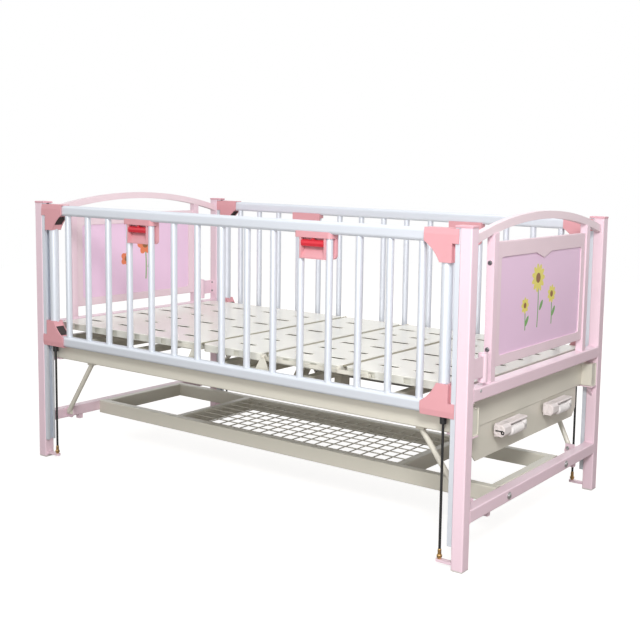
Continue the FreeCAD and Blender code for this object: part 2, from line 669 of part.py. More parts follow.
def hinge_post(x, side):
    """Gusset on the side rail that carries a deck hinge pin."""
    y0, y1 = side * 424, side * 429
    gusset = plate_xz([(x - 32, FRAME_Z[1]), (x + 32, FRAME_Z[1]), (x + 6.5, 510), (x - 6.5, 510)], y0, y1)
    eye = rod(at(x, y0, HINGE_Z), at(x, y1, HINGE_Z), HINGE_R)
    foot = block(x - 32, x + 32, side * 414, side * 438, FRAME_Z[1], FRAME_Z[1] + 3)
    pin = rod(at(x, side * (DECK_HALF + 0.3), HINGE_Z), at(x, side * 432, HINGE_Z), HINGE_PIN_R)
    return union(gusset, eye, foot, pin)


def hinge_posts():
    return [hinge_post(x, side) for x in (BACK_X, THIGH_X) for side in (-1, 1)]


# ---------------------------------------------------------------- deck sections


def slot_cutter(x, y):
    half = (SLOT_LONG - SLOT_WIDE) / 2
    low, high = DECK_TOP - DECK_SKIN - 1, DECK_TOP + 1
    bar = block(x - half, x + half, y - SLOT_WIDE / 2, y + SLOT_WIDE / 2, low, high)
    ends = [rod(at(x + way * half, y, low), at(x + way * half, y, high), SLOT_WIDE / 2) for way in (-1, 1)]
    return bar.fuse(ends[0]).fuse(ends[1])


def deck_pan(x0, x1, slot_columns, rib_places, mitre, windows):
    """Pressed deck section: slotted skin, turned-down rim with side windows, ribs beneath."""
    skin_z = DECK_TOP - DECK_SKIN
    low = DECK_TOP - DECK_EDGE
    pan = block(x0, x1, -DECK_HALF, DECK_HALF, low, DECK_TOP)
    pan = pan.makeFillet(DECK_CORNER, edges_along(pan, at(0, 0, 1)))
    pan = pan.makeFillet(2, [e for e in pan.Edges if e.BoundBox.ZMin > DECK_TOP - 0.01])
    inner_half = DECK_HALF - DECK_SKIN
    hollow = block(x0 + DECK_SKIN, x1 - DECK_SKIN, -inner_half, inner_half, low - 1, skin_z)
    hollow = hollow.makeFillet(DECK_CORNER - DECK_SKIN, edges_along(hollow, at(0, 0, 1)))
    pan = pan.cut(hollow)
    ribs = []
    for x in rib_places:
        rib = block(x - 20, x + 20, -inner_half, inner_half, low, skin_z)
        ribs.append(rib.cut(block(x - 18, x + 18, -DECK_HALF, DECK_HALF, low - 1, skin_z - 2)))
    pan = union(pan, *ribs)
    drop = HINGE_Z - low
    if mitre == "start":
        wedge = [(x0 - 1, HINGE_Z), (x0, HINGE_Z), (x0 + drop + 1, low - 1), (x0 - 1, low - 1)]
        pan = pan.cut(plate_xz(wedge, -DECK_HALF - 1, DECK_HALF + 1))
    cutters = [slot_cutter(x, y) for x in slot_columns for y in SLOT_ROWS]
    for x in windows:
        cutters.append(block(x - 12, x + 12, -DECK_HALF - 1, -DECK_HALF + 3, low + 4, low + 20))
        cutters.append(block(x - 12, x + 12, DECK_HALF - 3, DECK_HALF + 1, low + 4, low + 20))
    return pan.cut(Part.makeCompound(cutters))


def back_deck():
    ribs = (-860, -713, -541, -368, -205)
    windows = (-790, -674, -580, -460, -325, -248)
    return deck_pan(-DECK_END, BACK_X - SEAM_MOVING, (-800, -627, -454, -281), ribs, "", windows)


def seat_deck():
    return deck_pan(BACK_X + SEAM_FIXED, THIGH_X - SEAM_FIXED, (-15,), (-95, 80), "", (-40, 20))


def thigh_deck():
    windows = (233, 345)
    return deck_pan(THIGH_X + SEAM_MOVING, CALF_X - SEAM_MOVING, (232, 362), (175, 297, 418), "", windows)


def calf_deck():
    windows = (568, 696, 808)
    return deck_pan(CALF_X + SEAM_CALF, DECK_END, (568, 696, 806), (505, 632, 751, 863), "start", windows)


def hinge_strap(x_eyes, x0, x1, y0, y1, bored):
    """Flat strap on the edge of a deck section, with a round eye at each hinge."""
    strap = block(x0, x1, y0, y1, HINGE_Z - 14, HINGE_Z - 2)
    strap = union(strap, *[rod(at(x, y0, HINGE_Z), at(x, y1, HINGE_Z), HINGE_R) for x in x_eyes])
    for x in bored:
        hole = rod(at(x, y0 - abs(y1 - y0), HINGE_Z), at(x, y1 + abs(y1 - y0), HINGE_Z), HINGE_PIN_R + RUNNING)
        strap = strap.cut(hole)
    return strap


def under_frame(x0, x1, cross_places):
    """Two long tubes under a deck section and tubes across them."""
    solids = []
    for y in (-UNDER_Y, UNDER_Y):
        solids.append(box_tube(x0, x1, y - 12.5, y + 12.5, *UNDER_Z, 2, 3))
    for x in cross_places:
        solids.append(box_tube(x, x + 25, -UNDER_Y + 12.5, UNDER_Y - 12.5, *UNDER_Z, 2, 3))
    return solids


def lift_lug(hinge_x, tilt, head_way, slot, root_x, screw_y):
    """Pair of slotted plates under a section; the push tube's pin runs in the slots."""
    lean = math.radians(tilt) * head_way
    down = (math.sin(lean), -math.cos(lean))
    across = (math.cos(lean), math.sin(lean))
    slot_start, slot_end, slot_wide = slot

    def point(along, aside):
        return (
            hinge_x + along * down[0] + aside * across[0],
            HINGE_Z + along * down[1] + aside * across[1],
        )

    start, end, half = slot_start - 6, slot_end + 9, slot_wide / 2 + 7
    if head_way > 0:
        outline = [(root_x, 466), (root_x, 492), (root_x + 16, 492), point(start, half), point(end, half)]
        outline += [point(end, -half), point(start, -half)]
    else:
        outline = [(root_x, 466), (root_x, 492), (root_x - 16, 492), point(start, -half), point(end, -half)]
        outline += [point(end, half), point(start, half)]
    inner = slot_wide / 2
    corners = [point(slot_start, -inner), point(slot_end, -inner), point(slot_end, inner), point(slot_start, inner)]
    plates = []
    for y0 in (screw_y - 22, screw_y + 16):
        plate = plate_xz(outline, y0, y0 + 6)
        plates.append(plate.cut(plate_xz(corners, y0 - 1, y0 + 7)))
    return plates


def back_underframe():
    solids = under_frame(-850, -176, (-850, -520, -206))
    for side in (-1, 1):
        y0, y1 = side * DECK_HALF, side * (DECK_HALF + 5)
        solids.append(hinge_strap([BACK_X], BACK_X - 110, BACK_X, y0, y1, [BACK_X]))
    return solids + lift_lug(BACK_X, BACK_TILT, 1, (147, 193, 22), -181, BACK_SCREW_Y)


def thigh_underframe():
    solids = under_frame(165, 405, (166, 375))
    for side in (-1, 1):
        y0, y1 = side * DECK_HALF, side * (DECK_HALF + 5)
        strap = hinge_strap([THIGH_X, CALF_X], THIGH_X, CALF_X, y0, y1, [THIGH_X])
        pin = rod(at(CALF_X, side * (DECK_HALF + 1), HINGE_Z), at(CALF_X, side * 425, HINGE_Z), HINGE_PIN_R)
        solids.append(union(strap, pin))
    return solids + lift_lug(THIGH_X, KNEE_TILT, -1, (147, 167, 14), 166, KNEE_SCREW_Y)


def calf_underframe():
    solids = under_frame(490, 870, (490, 845))
    for side in (-1, 1):
        y0, y1 = side * (DECK_HALF + 6), side * (DECK_HALF + 11)
        strap = hinge_strap([CALF_X], CALF_X, CALF_X + 120, y0, y1, [CALF_X])
        spacer = block(CALF_X + 60, CALF_X + 120, side * DECK_HALF, y1, HINGE_Z - 14, HINGE_Z - 2)
        solids.append(union(strap, spacer))
    return solids


def calf_glides():
    """Rounded shoes at the foot end of the calf section; they slide on the side rails."""
    shoes = []
    for side in (-1, 1):
        y0, y1 = side * (DECK_HALF + 1), side * (DECK_HALF + 19)
        shoe = rod(at(866, y0, 480), at(866, y1, 480), 15)
        stem = block(858, 874, side * DECK_HALF, y1 - side * 4, 480, 511)
        shoes.append(union(shoe, stem))
    return shoes


# ---------------------------------------------------------------- lifting gear


def push_tube(pin_x, y, end_x):
    """Tube with a nut in its foot end and a cross pin through the block at its head end."""
    start, nut = pin_x + 14, end_x - 25
    tube = rod(at(start - 1, y, SCREW_Z), at(end_x, y, SCREW_Z), TUBE_R)
    hollow = rod(at(start + 10, y, SCREW_Z), at(nut, y, SCREW_Z), TUBE_R - 4)
    thread = rod(at(nut - 1, y, SCREW_Z), at(end_x + 1, y, SCREW_Z), SCREW_R + RUNNING)
    head = block(pin_x - 14, start, y - 15.5, y + 15.5, SCREW_Z - 14, SCREW_Z + 14)
    head = head.makeFillet(5, edges_along(head, at(0, 1, 0)))
    pin = rod(at(pin_x, y - 25, SCREW_Z), at(pin_x, y + 25, SCREW_Z), 5)
    return union(tube.cut(hollow).cut(thread), head, pin)


def crank_screw(y, inner_x):
    """Lead screw, thrust collar and the shaft that passes out through the plate."""
    screw = rod(at(inner_x, y, SCREW_Z), at(851, y, SCREW_Z), SCREW_R)
    collar = rod(at(850, y, SCREW_Z), at(APRON_X[0] - 30.5, y, SCREW_Z), 13)
    shaft = rod(at(857, y, SCREW_Z), at(ARM_X[0], y, SCREW_Z), SHAFT_R)
    return union(screw, collar, shaft)


def crank_arm(y):
    """Crank arm: a block beside the shaft, a back plate, and a lip and an ear for the grip."""
    x0, x1 = ARM_X
    z = SCREW_Z
    boss = block(x0, ARM_FRONT, y - 45, y - 4, z - ARM_HALF, z + ARM_HALF)
    rounded = [e for e in edges_along(boss, at(1, 0, 0)) if e.BoundBox.YMax < y - 40]
    boss = boss.makeFillet(6, rounded)
    boss = boss.makeFillet(3, [e for e in boss.Edges if e.BoundBox.XMin > ARM_FRONT - 0.1])
    low, high = z - 22.5, z + ARM_HALF + 0.5
    back = block(x0, x1, y - 30, y + ARM_REACH, low, high)
    back = back.makeFillet(8, edges_along(back, at(1, 0, 0)))
    lip = block(x1 - 1, ARM_FRONT - 3, y - 5, y + ARM_REACH - 6, high - 7.5, high)
    lip = lip.makeFillet(3, [e for e in edges_along(lip, at(0, 1, 0)) if e.BoundBox.XMin > x1])
    ear = block(x1 - 1, ARM_FRONT - 5, y + GRIP_PIVOT - 12, y + ARM_REACH - 6, low, low + 2)
    pin = rod(at(GRIP_X, y + GRIP_PIVOT, low), at(GRIP_X, y + GRIP_PIVOT, high - 1), 3)
    collar = rod(at(x0 - 5.5, y, z), at(x0 + 1, y, z), 12)
    arm = union(boss, back, lip, ear, pin, collar)
    return arm.cut(rod(at(x0 - 7, y, z), at(x0, y, z), SHAFT_R))


def crank_grip(y):
    """Folding hand grip, a ribbed round handle that lies against the arm."""
    z = SCREW_Z - 6.0
    start, end = y + 1, y + GRIP_PIVOT
    radius = 13.0
    knuckle = rod(at(GRIP_X, end, z - 14), at(GRIP_X, end, z + 14), radius)
    handle = rod(at(GRIP_X, start, z), at(GRIP_X, end, z), radius)
    handle = handle.makeFillet(4, [handle.Edges[0], handle.Edges[2]])
    grip = union(handle, knuckle)
    for step in range(6):
        ring_y = start + 14 + step * 12
        outer = rod(at(GRIP_X, ring_y, z), at(GRIP_X, ring_y + 4, z), radius + 2)
        grip = grip.cut(outer.cut(rod(at(GRIP_X, ring_y, z), at(GRIP_X, ring_y + 4, z), radius - 1.2)))
    return grip.cut(rod(at(GRIP_X, end, z - 20), at(GRIP_X, end, z + 20), 3 + RUNNING))


# ---------------------------------------------------------------- base frame and braces


def base_frame():
    """Tubes bolted between the lower bars, with two tubes across for the shelf."""
    low, high = BASE_Z
    solids = []
    for y in (-BASE_Y, BASE_Y):
        solids.append(box_tube(-POST_INNER_X, POST_INNER_X, y - 15, y + 15, low, high, 2, 4))
    for x in (-POST_INNER_X + 15, SHELF_X[0], SHELF_X[1], POST_INNER_X - 15):
        solids.append(box_tube(x - 15, x + 15, -BASE_Y + 15, BASE_Y - 15, low, high, 2, 4))
    return solids


def mesh_shelf():
    """Welded wire shelf that lies on the base frame's inner lip."""
    wires = []
    x0, x1 = SHELF_X[0] + 15, SHELF_X[1] - 15
    y0, y1 = -BASE_Y + 15, BASE_Y - 15
    z = BASE_Z[1] - 10
    count_x = int((x1 - x0) / MESH_PITCH)
    first_x = (x0 + x1 - count_x * MESH_PITCH) / 2
    for number in range(count_x + 1):
        x = first_x + number * MESH_PITCH
        wires.append(rod(at(x, y0, z), at(x, y1, z), 2))
    count_y = int((y1 - y0) / MESH_PITCH)
    first_y = (y0 + y1 - count_y * MESH_PITCH) / 2
    for number in range(count_y + 1):
        y = first_y + number * MESH_PITCH
        wires.append(rod(at(x0, y, z + 4), at(x1, y, z + 4), 2))
    return wires


def brace(side, lug_y, head_x):
    """Diagonal strut, drawn at the foot end, from the lower bar up to the side rail."""
    foot, head = at(BRACE_FOOT_X, side * (lug_y + 12), 165), at(head_x, side * 413, 376)
    strut = rod(foot, head, 8.5)
    tab_y = side * (lug_y + 3)
    tab = block(BRACE_FOOT_X - 12, BRACE_FOOT_X + 12, tab_y, tab_y + side * 9, 155, 175)
    cleat = block(head_x - 14, head_x + 14, side * 404, side * 422, 373, FRAME_Z[0])
    return union(strut, tab, cleat)


def frame_bolts(lug_y):
    """Domed bolts through the lower bar into the base frame, and through the lugs."""
    heads = []
    for side in (-1, 1):
        heads.append(screw_head(at(HALF_LENGTH, side * BASE_Y, 155), at(1, 0, 0), 11.5, 6))
        face_y = side * (lug_y - 3)
        heads.append(screw_head(at(BRACE_FOOT_X, face_y, 165), at(0, -side, 0), 6.5, 4))
    return heads


def both_ends(solids):
    return solids + [turned(s) for s in solids]


def both_sides(make):
    return [make(-1), make(1)]


# ---------------------------------------------------------------- export

foot_lug_y, foot_brace_x = FOOT_BRACE
head_lug_y, head_brace_x = HEAD_BRACE
save("foot_end_frame", *end_frame(foot_lug_y))
save("head_end_frame", *[turned(s) for s in end_frame(head_lug_y)])
save("foot_arch", arch())
save("head_arch", turned(arch()))
save("foot_panel_frame", panel_frame())
save("head_panel_frame", turned(panel_frame()))
save("foot_panel_insert", panel_insert())
save("head_panel_insert", turned(panel_insert()))
save("accessory_sockets", *both_ends([accessory_socket()]))
save("panel_screws", *both_ends(panel_screws() + socket_screws()))
save("post_caps", *both_ends(both_sides(post_cap)))
save("leg_glides", *both_ends(both_sides(leg_glide)))
save("slide_guides", *both_ends(both_sides(slide_guide)))
save("gas_rods", *both_ends(both_sides(gas_rod)))
save("rod_ball_ends", *both_ends(both_sides(rod_ball_end)))

save("bed_side_rails", *both_sides(bed_side_rail))
save("bed_head_rail", bed_head_rail())
save("bed_cross_members", *bed_cross_members())
save("rest_buffers", *rest_buffers())
save("crank_plate", crank_plate())
save("screw_bearings", *screw_bearings())
save("hinge_posts", *hinge_posts())
save("seat_deck", seat_deck())
save("base_frame", *base_frame())
save("mesh_shelf", *mesh_shelf())
foot_braces = [brace(side, foot_lug_y, foot_brace_x) for side in (-1, 1)]
head_braces = [turned(brace(side, head_lug_y, head_brace_x)) for side in (-1, 1)]
save("braces", *foot_braces + head_braces)
save("frame_bolts", *frame_bolts(foot_lug_y) + [turned(s) for s in frame_bolts(head_lug_y)])

save("back_deck", back_deck())
save("back_underframe", *back_underframe())
save("thigh_deck", thigh_deck())
save("thigh_underframe", *thigh_underframe())
save("calf_deck", calf_deck())
save("calf_underframe", *calf_underframe())
save("calf_glides", *calf_glides())

back_pin_x = BACK_X + LUG_DROP * math.tan(math.radians(BACK_TILT))
knee_pin_x = THIGH_X - LUG_DROP * math.tan(math.radians(KNEE_TILT))
save("back_push_tube", push_tube(back_pin_x, BACK_SCREW_Y, 480))
save("knee_pull_tube", push_tube(knee_pin_x, KNEE_SCREW_Y, 500))
save("back_crank_screw", crank_screw(BACK_SCREW_Y, 236))
save("knee_crank_screw", crank_screw(KNEE_SCREW_Y, 440))
save("back_crank_arm", crank_arm(BACK_SCREW_Y))
save("knee_crank_arm", crank_arm(KNEE_SCREW_Y))
save("back_crank_grip", crank_grip(BACK_SCREW_Y))
save("knee_crank_grip", crank_grip(KNEE_SCREW_Y))

gas = gas_cylinder()
housing = latch_housing()
bushes = [bolt_bush(430), bolt_bush(815)]
latches = [housing] + bushes
for side_name, place in (("right", lambda s: s), ("left", turned)):
    save(side_name + "_rail_frame", *[place(s) for s in rail_frame()])
    save(side_name + "_rail_bars", *[place(s) for s in rail_bars()])
    save(side_name + "_rail_corners", *[place(s) for s in rail_corners()])
    save(side_name + "_latch_housings", *[place(s) for s in latches + [flipped_x(s) for s in latches]])
    save(side_name + "_gas_cylinders", *[place(s) for s in gas + [flipped_x(s) for s in gas]])

lever, bolt = latch_lever(), latch_bolt()
save("right_foot_latch_lever", lever)
save("right_head_latch_lever", flipped_x(lever))
save("left_head_latch_lever", turned(lever))
save("left_foot_latch_lever", flipped_y(lever))
save("right_foot_latch_bolt", bolt)
save("right_head_latch_bolt", flipped_x(bolt))
save("left_head_latch_bolt", turned(bolt))
save("left_foot_latch_bolt", flipped_y(bolt))
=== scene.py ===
import math

import bmesh
import bpy
from mathutils import Matrix, Vector


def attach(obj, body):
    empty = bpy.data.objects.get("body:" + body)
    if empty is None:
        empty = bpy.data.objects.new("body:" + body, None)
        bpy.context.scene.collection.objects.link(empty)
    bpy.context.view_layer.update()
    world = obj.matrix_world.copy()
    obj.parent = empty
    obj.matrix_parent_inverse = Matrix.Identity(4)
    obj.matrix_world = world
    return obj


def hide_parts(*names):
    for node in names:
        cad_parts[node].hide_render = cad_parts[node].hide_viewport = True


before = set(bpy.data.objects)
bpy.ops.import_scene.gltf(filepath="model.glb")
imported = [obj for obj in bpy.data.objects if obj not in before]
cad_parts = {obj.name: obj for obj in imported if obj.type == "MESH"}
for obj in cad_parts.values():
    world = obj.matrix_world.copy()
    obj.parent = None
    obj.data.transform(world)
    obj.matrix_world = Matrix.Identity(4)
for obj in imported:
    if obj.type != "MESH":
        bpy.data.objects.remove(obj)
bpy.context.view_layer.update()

# ---------------------------------------------------------------- view
# The cot is seen from its foot end and right-hand side, from a little over rail height,
# through a lens that is shifted a little so that the cot stands in the lower right.

IMAGE_PIXELS = 640
VIEW_PLACE = Vector((2.2551, -2.8107, 1.1233))
VIEW_TURN = math.radians(33.861)
VIEW_DOWN = math.radians(6.517)
VIEW_ROLL = math.radians(1.286)
FOCAL_PIXELS = 993.1
AXIS_PIXEL = (394.99, 282.68)

forward = Vector(
    (
        -math.sin(VIEW_TURN) * math.cos(VIEW_DOWN),
        math.cos(VIEW_TURN) * math.cos(VIEW_DOWN),
        -math.sin(VIEW_DOWN),
    )
)
level = Vector((math.cos(VIEW_TURN), math.sin(VIEW_TURN), 0))
upright = level.cross(forward)
right = level * math.cos(VIEW_ROLL) + upright * math.sin(VIEW_ROLL)
top = upright * math.cos(VIEW_ROLL) - level * math.sin(VIEW_ROLL)
view = bpy.data.objects.new("view", bpy.data.cameras.new("view"))
view.matrix_world = Matrix(
    [(right[i], top[i], -forward[i], VIEW_PLACE[i]) for i in range(3)] + [(0, 0, 0, 1)]
)
view.data.sensor_width = 36.0
view.data.lens = FOCAL_PIXELS / IMAGE_PIXELS * view.data.sensor_width
view.data.shift_x = 0.5 - AXIS_PIXEL[0] / IMAGE_PIXELS
view.data.shift_y = AXIS_PIXEL[1] / IMAGE_PIXELS - 0.5
view.data.clip_end = 60
bpy.context.collection.objects.link(view)
scene = bpy.context.scene
scene.camera = view
scene.view_settings.view_transform = "Standard"

# ---------------------------------------------------------------- room
# A white studio floor and a white surround, with large soft lamps above and all round.
# The floor is lifted to white for the lens and keeps the cot's soft shadow.


class Shade:
    """A socket in a material's tree. Sums and products of shades add Math nodes."""

    def __init__(self, tree, socket=None):
        self.tree = tree
        self.socket = socket

    def make(self, kind, settings=None, values=None, stops=None, output=0):
        """Adds a node: settings first, then ramp stops, then socket values or links."""
        node = self.tree.nodes.new(kind)
        for name, value in (settings or {}).items():
            setattr(node, name, value)
        for number, (place, colour) in enumerate(stops or []):
            ramp = node.color_ramp.elements
            element = ramp[number] if number < 2 else ramp.new(place)
            element.position = place
            element.color = (*colour, 1)
        for name, value in (values or {}).items():
            if isinstance(value, Shade):
                self.tree.links.new(value.socket, node.inputs[name])
            else:
                node.inputs[name].default_value = value
        return Shade(self.tree, node.outputs[output]) if node.outputs else node

    def maths(self, operation, second, first=None):
        """A Math node of this shade, or of the given first value, and a second value."""
        values = {0: self if first is None else first}
        if second is not None:
            values[1] = second
        return self.make("ShaderNodeMath", {"operation": operation}, values)

    def __add__(self, other):
        return self.maths("ADD", other)

    def __radd__(self, other):
        return self.maths("ADD", self, other)

    def __sub__(self, other):
        return self.maths("SUBTRACT", other)

    def __rsub__(self, other):
        return self.maths("SUBTRACT", self, other)

    def __mul__(self, other):
        return self.maths("MULTIPLY", other)

    def __rmul__(self, other):
        return self.maths("MULTIPLY", self, other)

    def below(self, other):
        """1 where this shade is less than the other value, and 0 elsewhere."""
        return self.maths("LESS_THAN", other)

    def sister(self, name):
        """Another output of the node that this shade comes from."""
        return Shade(self.tree, self.socket.node.outputs[name])

    def blend(self, first, second):
        """Two colours mixed by this shade: the first at 0, the second at 1."""
        values = {"Factor": self, 6: first, 7: second}
        return self.make("ShaderNodeMix", {"data_type": "RGBA"}, values, output=2)

    def noise(self, scale, detail):
        """Cloudy noise over this shade, which is a place."""
        values = {"Vector": self, "Scale": scale, "Detail": detail}
        return self.make("ShaderNodeTexNoise", values=values)


def new_material(name):
    """An empty material, a shade to add its nodes with, and its object coordinates."""
    material = bpy.data.materials.new(name)
    material.use_nodes = True
    material.node_tree.nodes.clear()
    start = Shade(material.node_tree)
    return material, start, start.make("ShaderNodeTexCoord", output=3)


def studio_floor():
    """A warm matt floor that glows for the lens alone, so that it comes out white."""
    material, start, place = new_material("studio_floor")
    colour = place.noise(3.0, 2.0).blend(FLOOR_WARM, FLOOR_WARM_DARK)
    surface = start.make("ShaderNodeBsdfDiffuse", values={"Color": colour})
    seen = start.make("ShaderNodeLightPath")
    lift = start.make("ShaderNodeEmission", values={"Strength": seen * FLOOR_LIFT})
    both = start.make("ShaderNodeAddShader", values={0: surface, 1: lift})
    start.make("ShaderNodeOutputMaterial", values={"Surface": both})
    return material


FLOOR_WARM = (0.34, 0.32, 0.30, 1)
FLOOR_WARM_DARK = (0.32, 0.30, 0.28, 1)
FLOOR_LIFT = 0.86
FLOOR_HALF = 7.0
WORLD_LIGHT = 0.48

# Each lamp has its place, what it points at, its width and its power in watts.
LAMPS = {
    "key_lamp": ((2.4, -2.5, 2.4), (0.3, 0, 0.5), 0.8, 80),
    "front_lamp": ((1.6, -4.1, 1.1), (0.3, 0, 0.5), 1.8, 46),
    "side_lamp": ((-3.6, -2.6, 2.8), (0, 0, 0.5), 2.6, 9),
    "top_lamp": ((0.2, 0.4, 3.2), (0, 0, 0.5), 2.4, 22),
    "back_lamp": ((-1.6, 4.2, 2.4), (0, 0, 0.5), 2.4, 48),
}

floor_corners = [(x * FLOOR_HALF, y * FLOOR_HALF, 0) for x, y in ((-1, -1), (1, -1), (1, 1), (-1, 1))]
floor_mesh = bpy.data.meshes.new("floor")
floor_mesh.from_pydata(floor_corners, [], [(0, 1, 2, 3)])
floor = bpy.data.objects.new("floor", floor_mesh)
floor_mesh.materials.append(studio_floor())
bpy.context.collection.objects.link(floor)

world = bpy.data.worlds.new("surround")
scene.world = world
world.use_nodes = True
world.node_tree.nodes.clear()
surround = Shade(world.node_tree)
path = surround.make("ShaderNodeLightPath")
seen = path + path.sister("Is Glossy Ray") + path.sister("Is Transmission Ray")
strength = seen.maths("MINIMUM", 1.0) * (1 - WORLD_LIGHT) + WORLD_LIGHT
sky = surround.make("ShaderNodeBackground", values={"Color": (1, 1, 1, 1), "Strength": strength})
surround.make("ShaderNodeOutputWorld", values={"Surface": sky})

# The back lamp has no mirror image, which would glare in the deck's coat.
for name, (place, target, size, power) in LAMPS.items():
    lamp = bpy.data.lights.new(name, "AREA")
    lamp.size = size
    lamp.energy = power
    stand = bpy.data.objects.new(name, lamp)
    stand.location = place
    aim = Vector(target) - Vector(place)
    stand.rotation_euler = aim.to_track_quat("-Z", "Y").to_euler()
    stand.visible_glossy = name != "back_lamp"
    bpy.context.collection.objects.link(stand)

# ---------------------------------------------------------------- end frames
# Square steel tube, welded and powder coated in pale pink. The coat is glossy, with the
# faint orange peel that such paint has, and it rounds the sharp edges a little.


def dress(material, *nodes):
    """Gives CAD nodes their finish."""
    for node in nodes:
        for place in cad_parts[node].material_slots:
            place.material = material


def patchy(mask, colour, share):
    """A colour that sinks to a darker share of itself where the mask is low."""
    return mask.blend((*(part * share for part in colour), 1), (*colour, 1))


def relief(height, strength, depth, edge_radius):
    """A fine bump over edges that are rounded by the radius, both in metres."""
    edge = height.make("ShaderNodeBevel", {"samples": 4}, {"Radius": edge_radius})
    values = {"Strength": strength, "Distance": depth, "Height": height, "Normal": edge}
    return height.make("ShaderNodeBump", values=values)


def end_material(start, values):
    """A Principled surface with these values, led to the material's output."""
    surface = start.make("ShaderNodeBsdfPrincipled", values=values)
    start.make("ShaderNodeOutputMaterial", values={"Surface": surface})


def powder_coat(name, colour, roughness=0.30):
    """Glossy powder coat with orange peel and faint clouds."""
    material, start, place = new_material(name)
    cloud = place.noise(5.0, 3.0)
    values = {
        "Base Color": patchy(cloud, colour, 0.955),
        "Roughness": cloud * 0.10 + roughness,
        "Coat Weight": 0.25,
        "Coat Roughness": 0.12,
        "Normal": relief(place.noise(420.0, 2.0), 0.10, 0.0004, 0.0012),
    }
    end_material(start, values)
    return material


PINK_PAINT = (0.87, 0.665, 0.745)
pink_coat = powder_coat("pink_coat", PINK_PAINT)
dress(pink_coat, "head_end_frame", "foot_end_frame")

# ---------------------------------------------------------------- weld beads
# The cross bars, arches and uprights are welded on all round, and the small ripples of
# each bead show through the coat. A bead is a row of flattened drops along the joint.


def new_pattern(name, *inputs):
    """A Geometry Nodes tree with a material input and the named inputs."""
    group = bpy.data.node_groups.new(name, "GeometryNodeTree")
    for label, kind in (("Geometry", "Geometry"), ("Material", "Material"), *inputs):
        group.interface.new_socket(label, in_out="INPUT", socket_type="NodeSocket" + kind)
    group.interface.new_socket("Geometry", in_out="OUTPUT", socket_type="NodeSocketGeometry")
    entry = group.nodes.new("NodeGroupInput")
    given = {socket.name: Shade(group, socket) for socket in entry.outputs if socket.name}
    return group, Shade(group), given


def end_pattern(start, given, geometry):
    """Makes the instances real and coats them."""
    real = start.make("GeometryNodeRealizeInstances", values={"Geometry": geometry})
    values = {"Geometry": real, "Material": given["Material"]}
    coated = start.make("GeometryNodeSetMaterial", values=values)
    start.make("NodeGroupOutput", values={"Geometry": coated})


def run_pattern(piece, group, **values):
    """Runs a tree on a piece, keeps the result as a plain mesh, removes the modifier."""
    modifier = piece.modifiers.new(group.name, "NODES")
    modifier.node_group = group
    for item in group.interface.items_tree:
        label = item.name.replace(" ", "_").lower()
        if item.in_out == "INPUT" and label in values:
            modifier[item.identifier] = values[label]
    seen = bpy.context.evaluated_depsgraph_get()
    mesh = bpy.data.meshes.new_from_object(piece.evaluated_get(seen))
    piece.modifiers.clear()
    piece.data = mesh


def new_piece(name, points, edges=(), faces=()):
    """A mesh object at the origin. Points are in millimetres, as a drawing gives them."""
    mesh = bpy.data.meshes.new(name)
    mesh.from_pydata([(x / 1000, y / 1000, z / 1000) for x, y, z in points], edges, faces)
    piece = bpy.data.objects.new(name, mesh)
    bpy.context.collection.objects.link(piece)
    return piece


def smooth(piece):
    """Shades all faces of a piece smooth."""
    for polygon in piece.data.polygons:
        polygon.use_smooth = True


def bead_pattern():
    """A row of flattened drops of slightly uneven size along each edge."""
    inputs = (("Bead Radius", "Float"), ("Ripple Pitch", "Float"), ("Seed", "Int"))
    group, start, given = new_pattern("weld_bead", *inputs)
    line = start.make("GeometryNodeMeshToCurve", values={"Mesh": given["Geometry"]})
    values = {"Curve": line, "Length": given["Ripple Pitch"]}
    steps = start.make("GeometryNodeResampleCurve", {"mode": "LENGTH"}, values)
    values = {"Radius": given["Bead Radius"], "Subdivisions": 2}
    drop = start.make("GeometryNodeMeshIcoSphere", values=values)
    values = {2: DROP_SIZES[0], 3: DROP_SIZES[1], "Seed": given["Seed"]}
    vary = start.make("FunctionNodeRandomValue", {"data_type": "FLOAT"}, values, output=1)
    values = {"Points": steps, "Instance": drop, "Scale": vary}
    end_pattern(start, given, start.make("GeometryNodeInstanceOnPoints", values=values))
    return group


POST_X = (899.5, 937.5)
POST_INNER_Y = 440.5
BAR_Z = ((136, 174), (483, 521))
UPRIGHT_X = (907, 932)
UPRIGHT_Y = (312, 337)
ARCH_X = (906.5, 927.5)
ARCH_END_Z = (921.5, 945.5)
BEAD_RADIUS = 0.0013
RIPPLE_PITCH = 0.0022
DROP_SIZES = (0.85, 1.15)
BEAD_SEED = 4

bead_points, bead_edges = [], []


def add_joint(corners, closed):
    """Adds the line of one welded joint, in millimetres."""
    first = len(bead_points)
    bead_points.extend(corners)
    count = len(corners)
    bead_edges.extend((first + i, first + i + 1) for i in range(count - 1))
    if closed:
        bead_edges.append((first + count - 1, first))


for end in (-1, 1):
    for side in (-1, 1):
        y = side * POST_INNER_Y
        inner, outer = end * POST_X[0], end * POST_X[1]
        for low, high in BAR_Z:
            add_joint([(outer, y, low), (inner, y, low), (inner, y, high), (outer, y, high)], False)
        x0, x1 = (end * x for x in ARCH_X)
        z0, z1 = ARCH_END_Z
        add_joint([(x0, y, z0), (x1, y, z0), (x1, y, z1), (x0, y, z1)], True)
        x0, x1 = (end * x for x in UPRIGHT_X)
        y0, y1 = (side * y for y in UPRIGHT_Y)
        foot = BAR_Z[1][1]
        add_joint([(x0, y0, foot), (x1, y0, foot), (x1, y1, foot), (x0, y1, foot)], True)

beads = new_piece("weld_beads", bead_points, bead_edges)
run_pattern(
    beads,
    bead_pattern(),
    material=pink_coat,
    bead_radius=BEAD_RADIUS,
    ripple_pitch=RIPPLE_PITCH,
    seed=BEAD_SEED,
)
smooth(beads)
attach(beads, "cot")

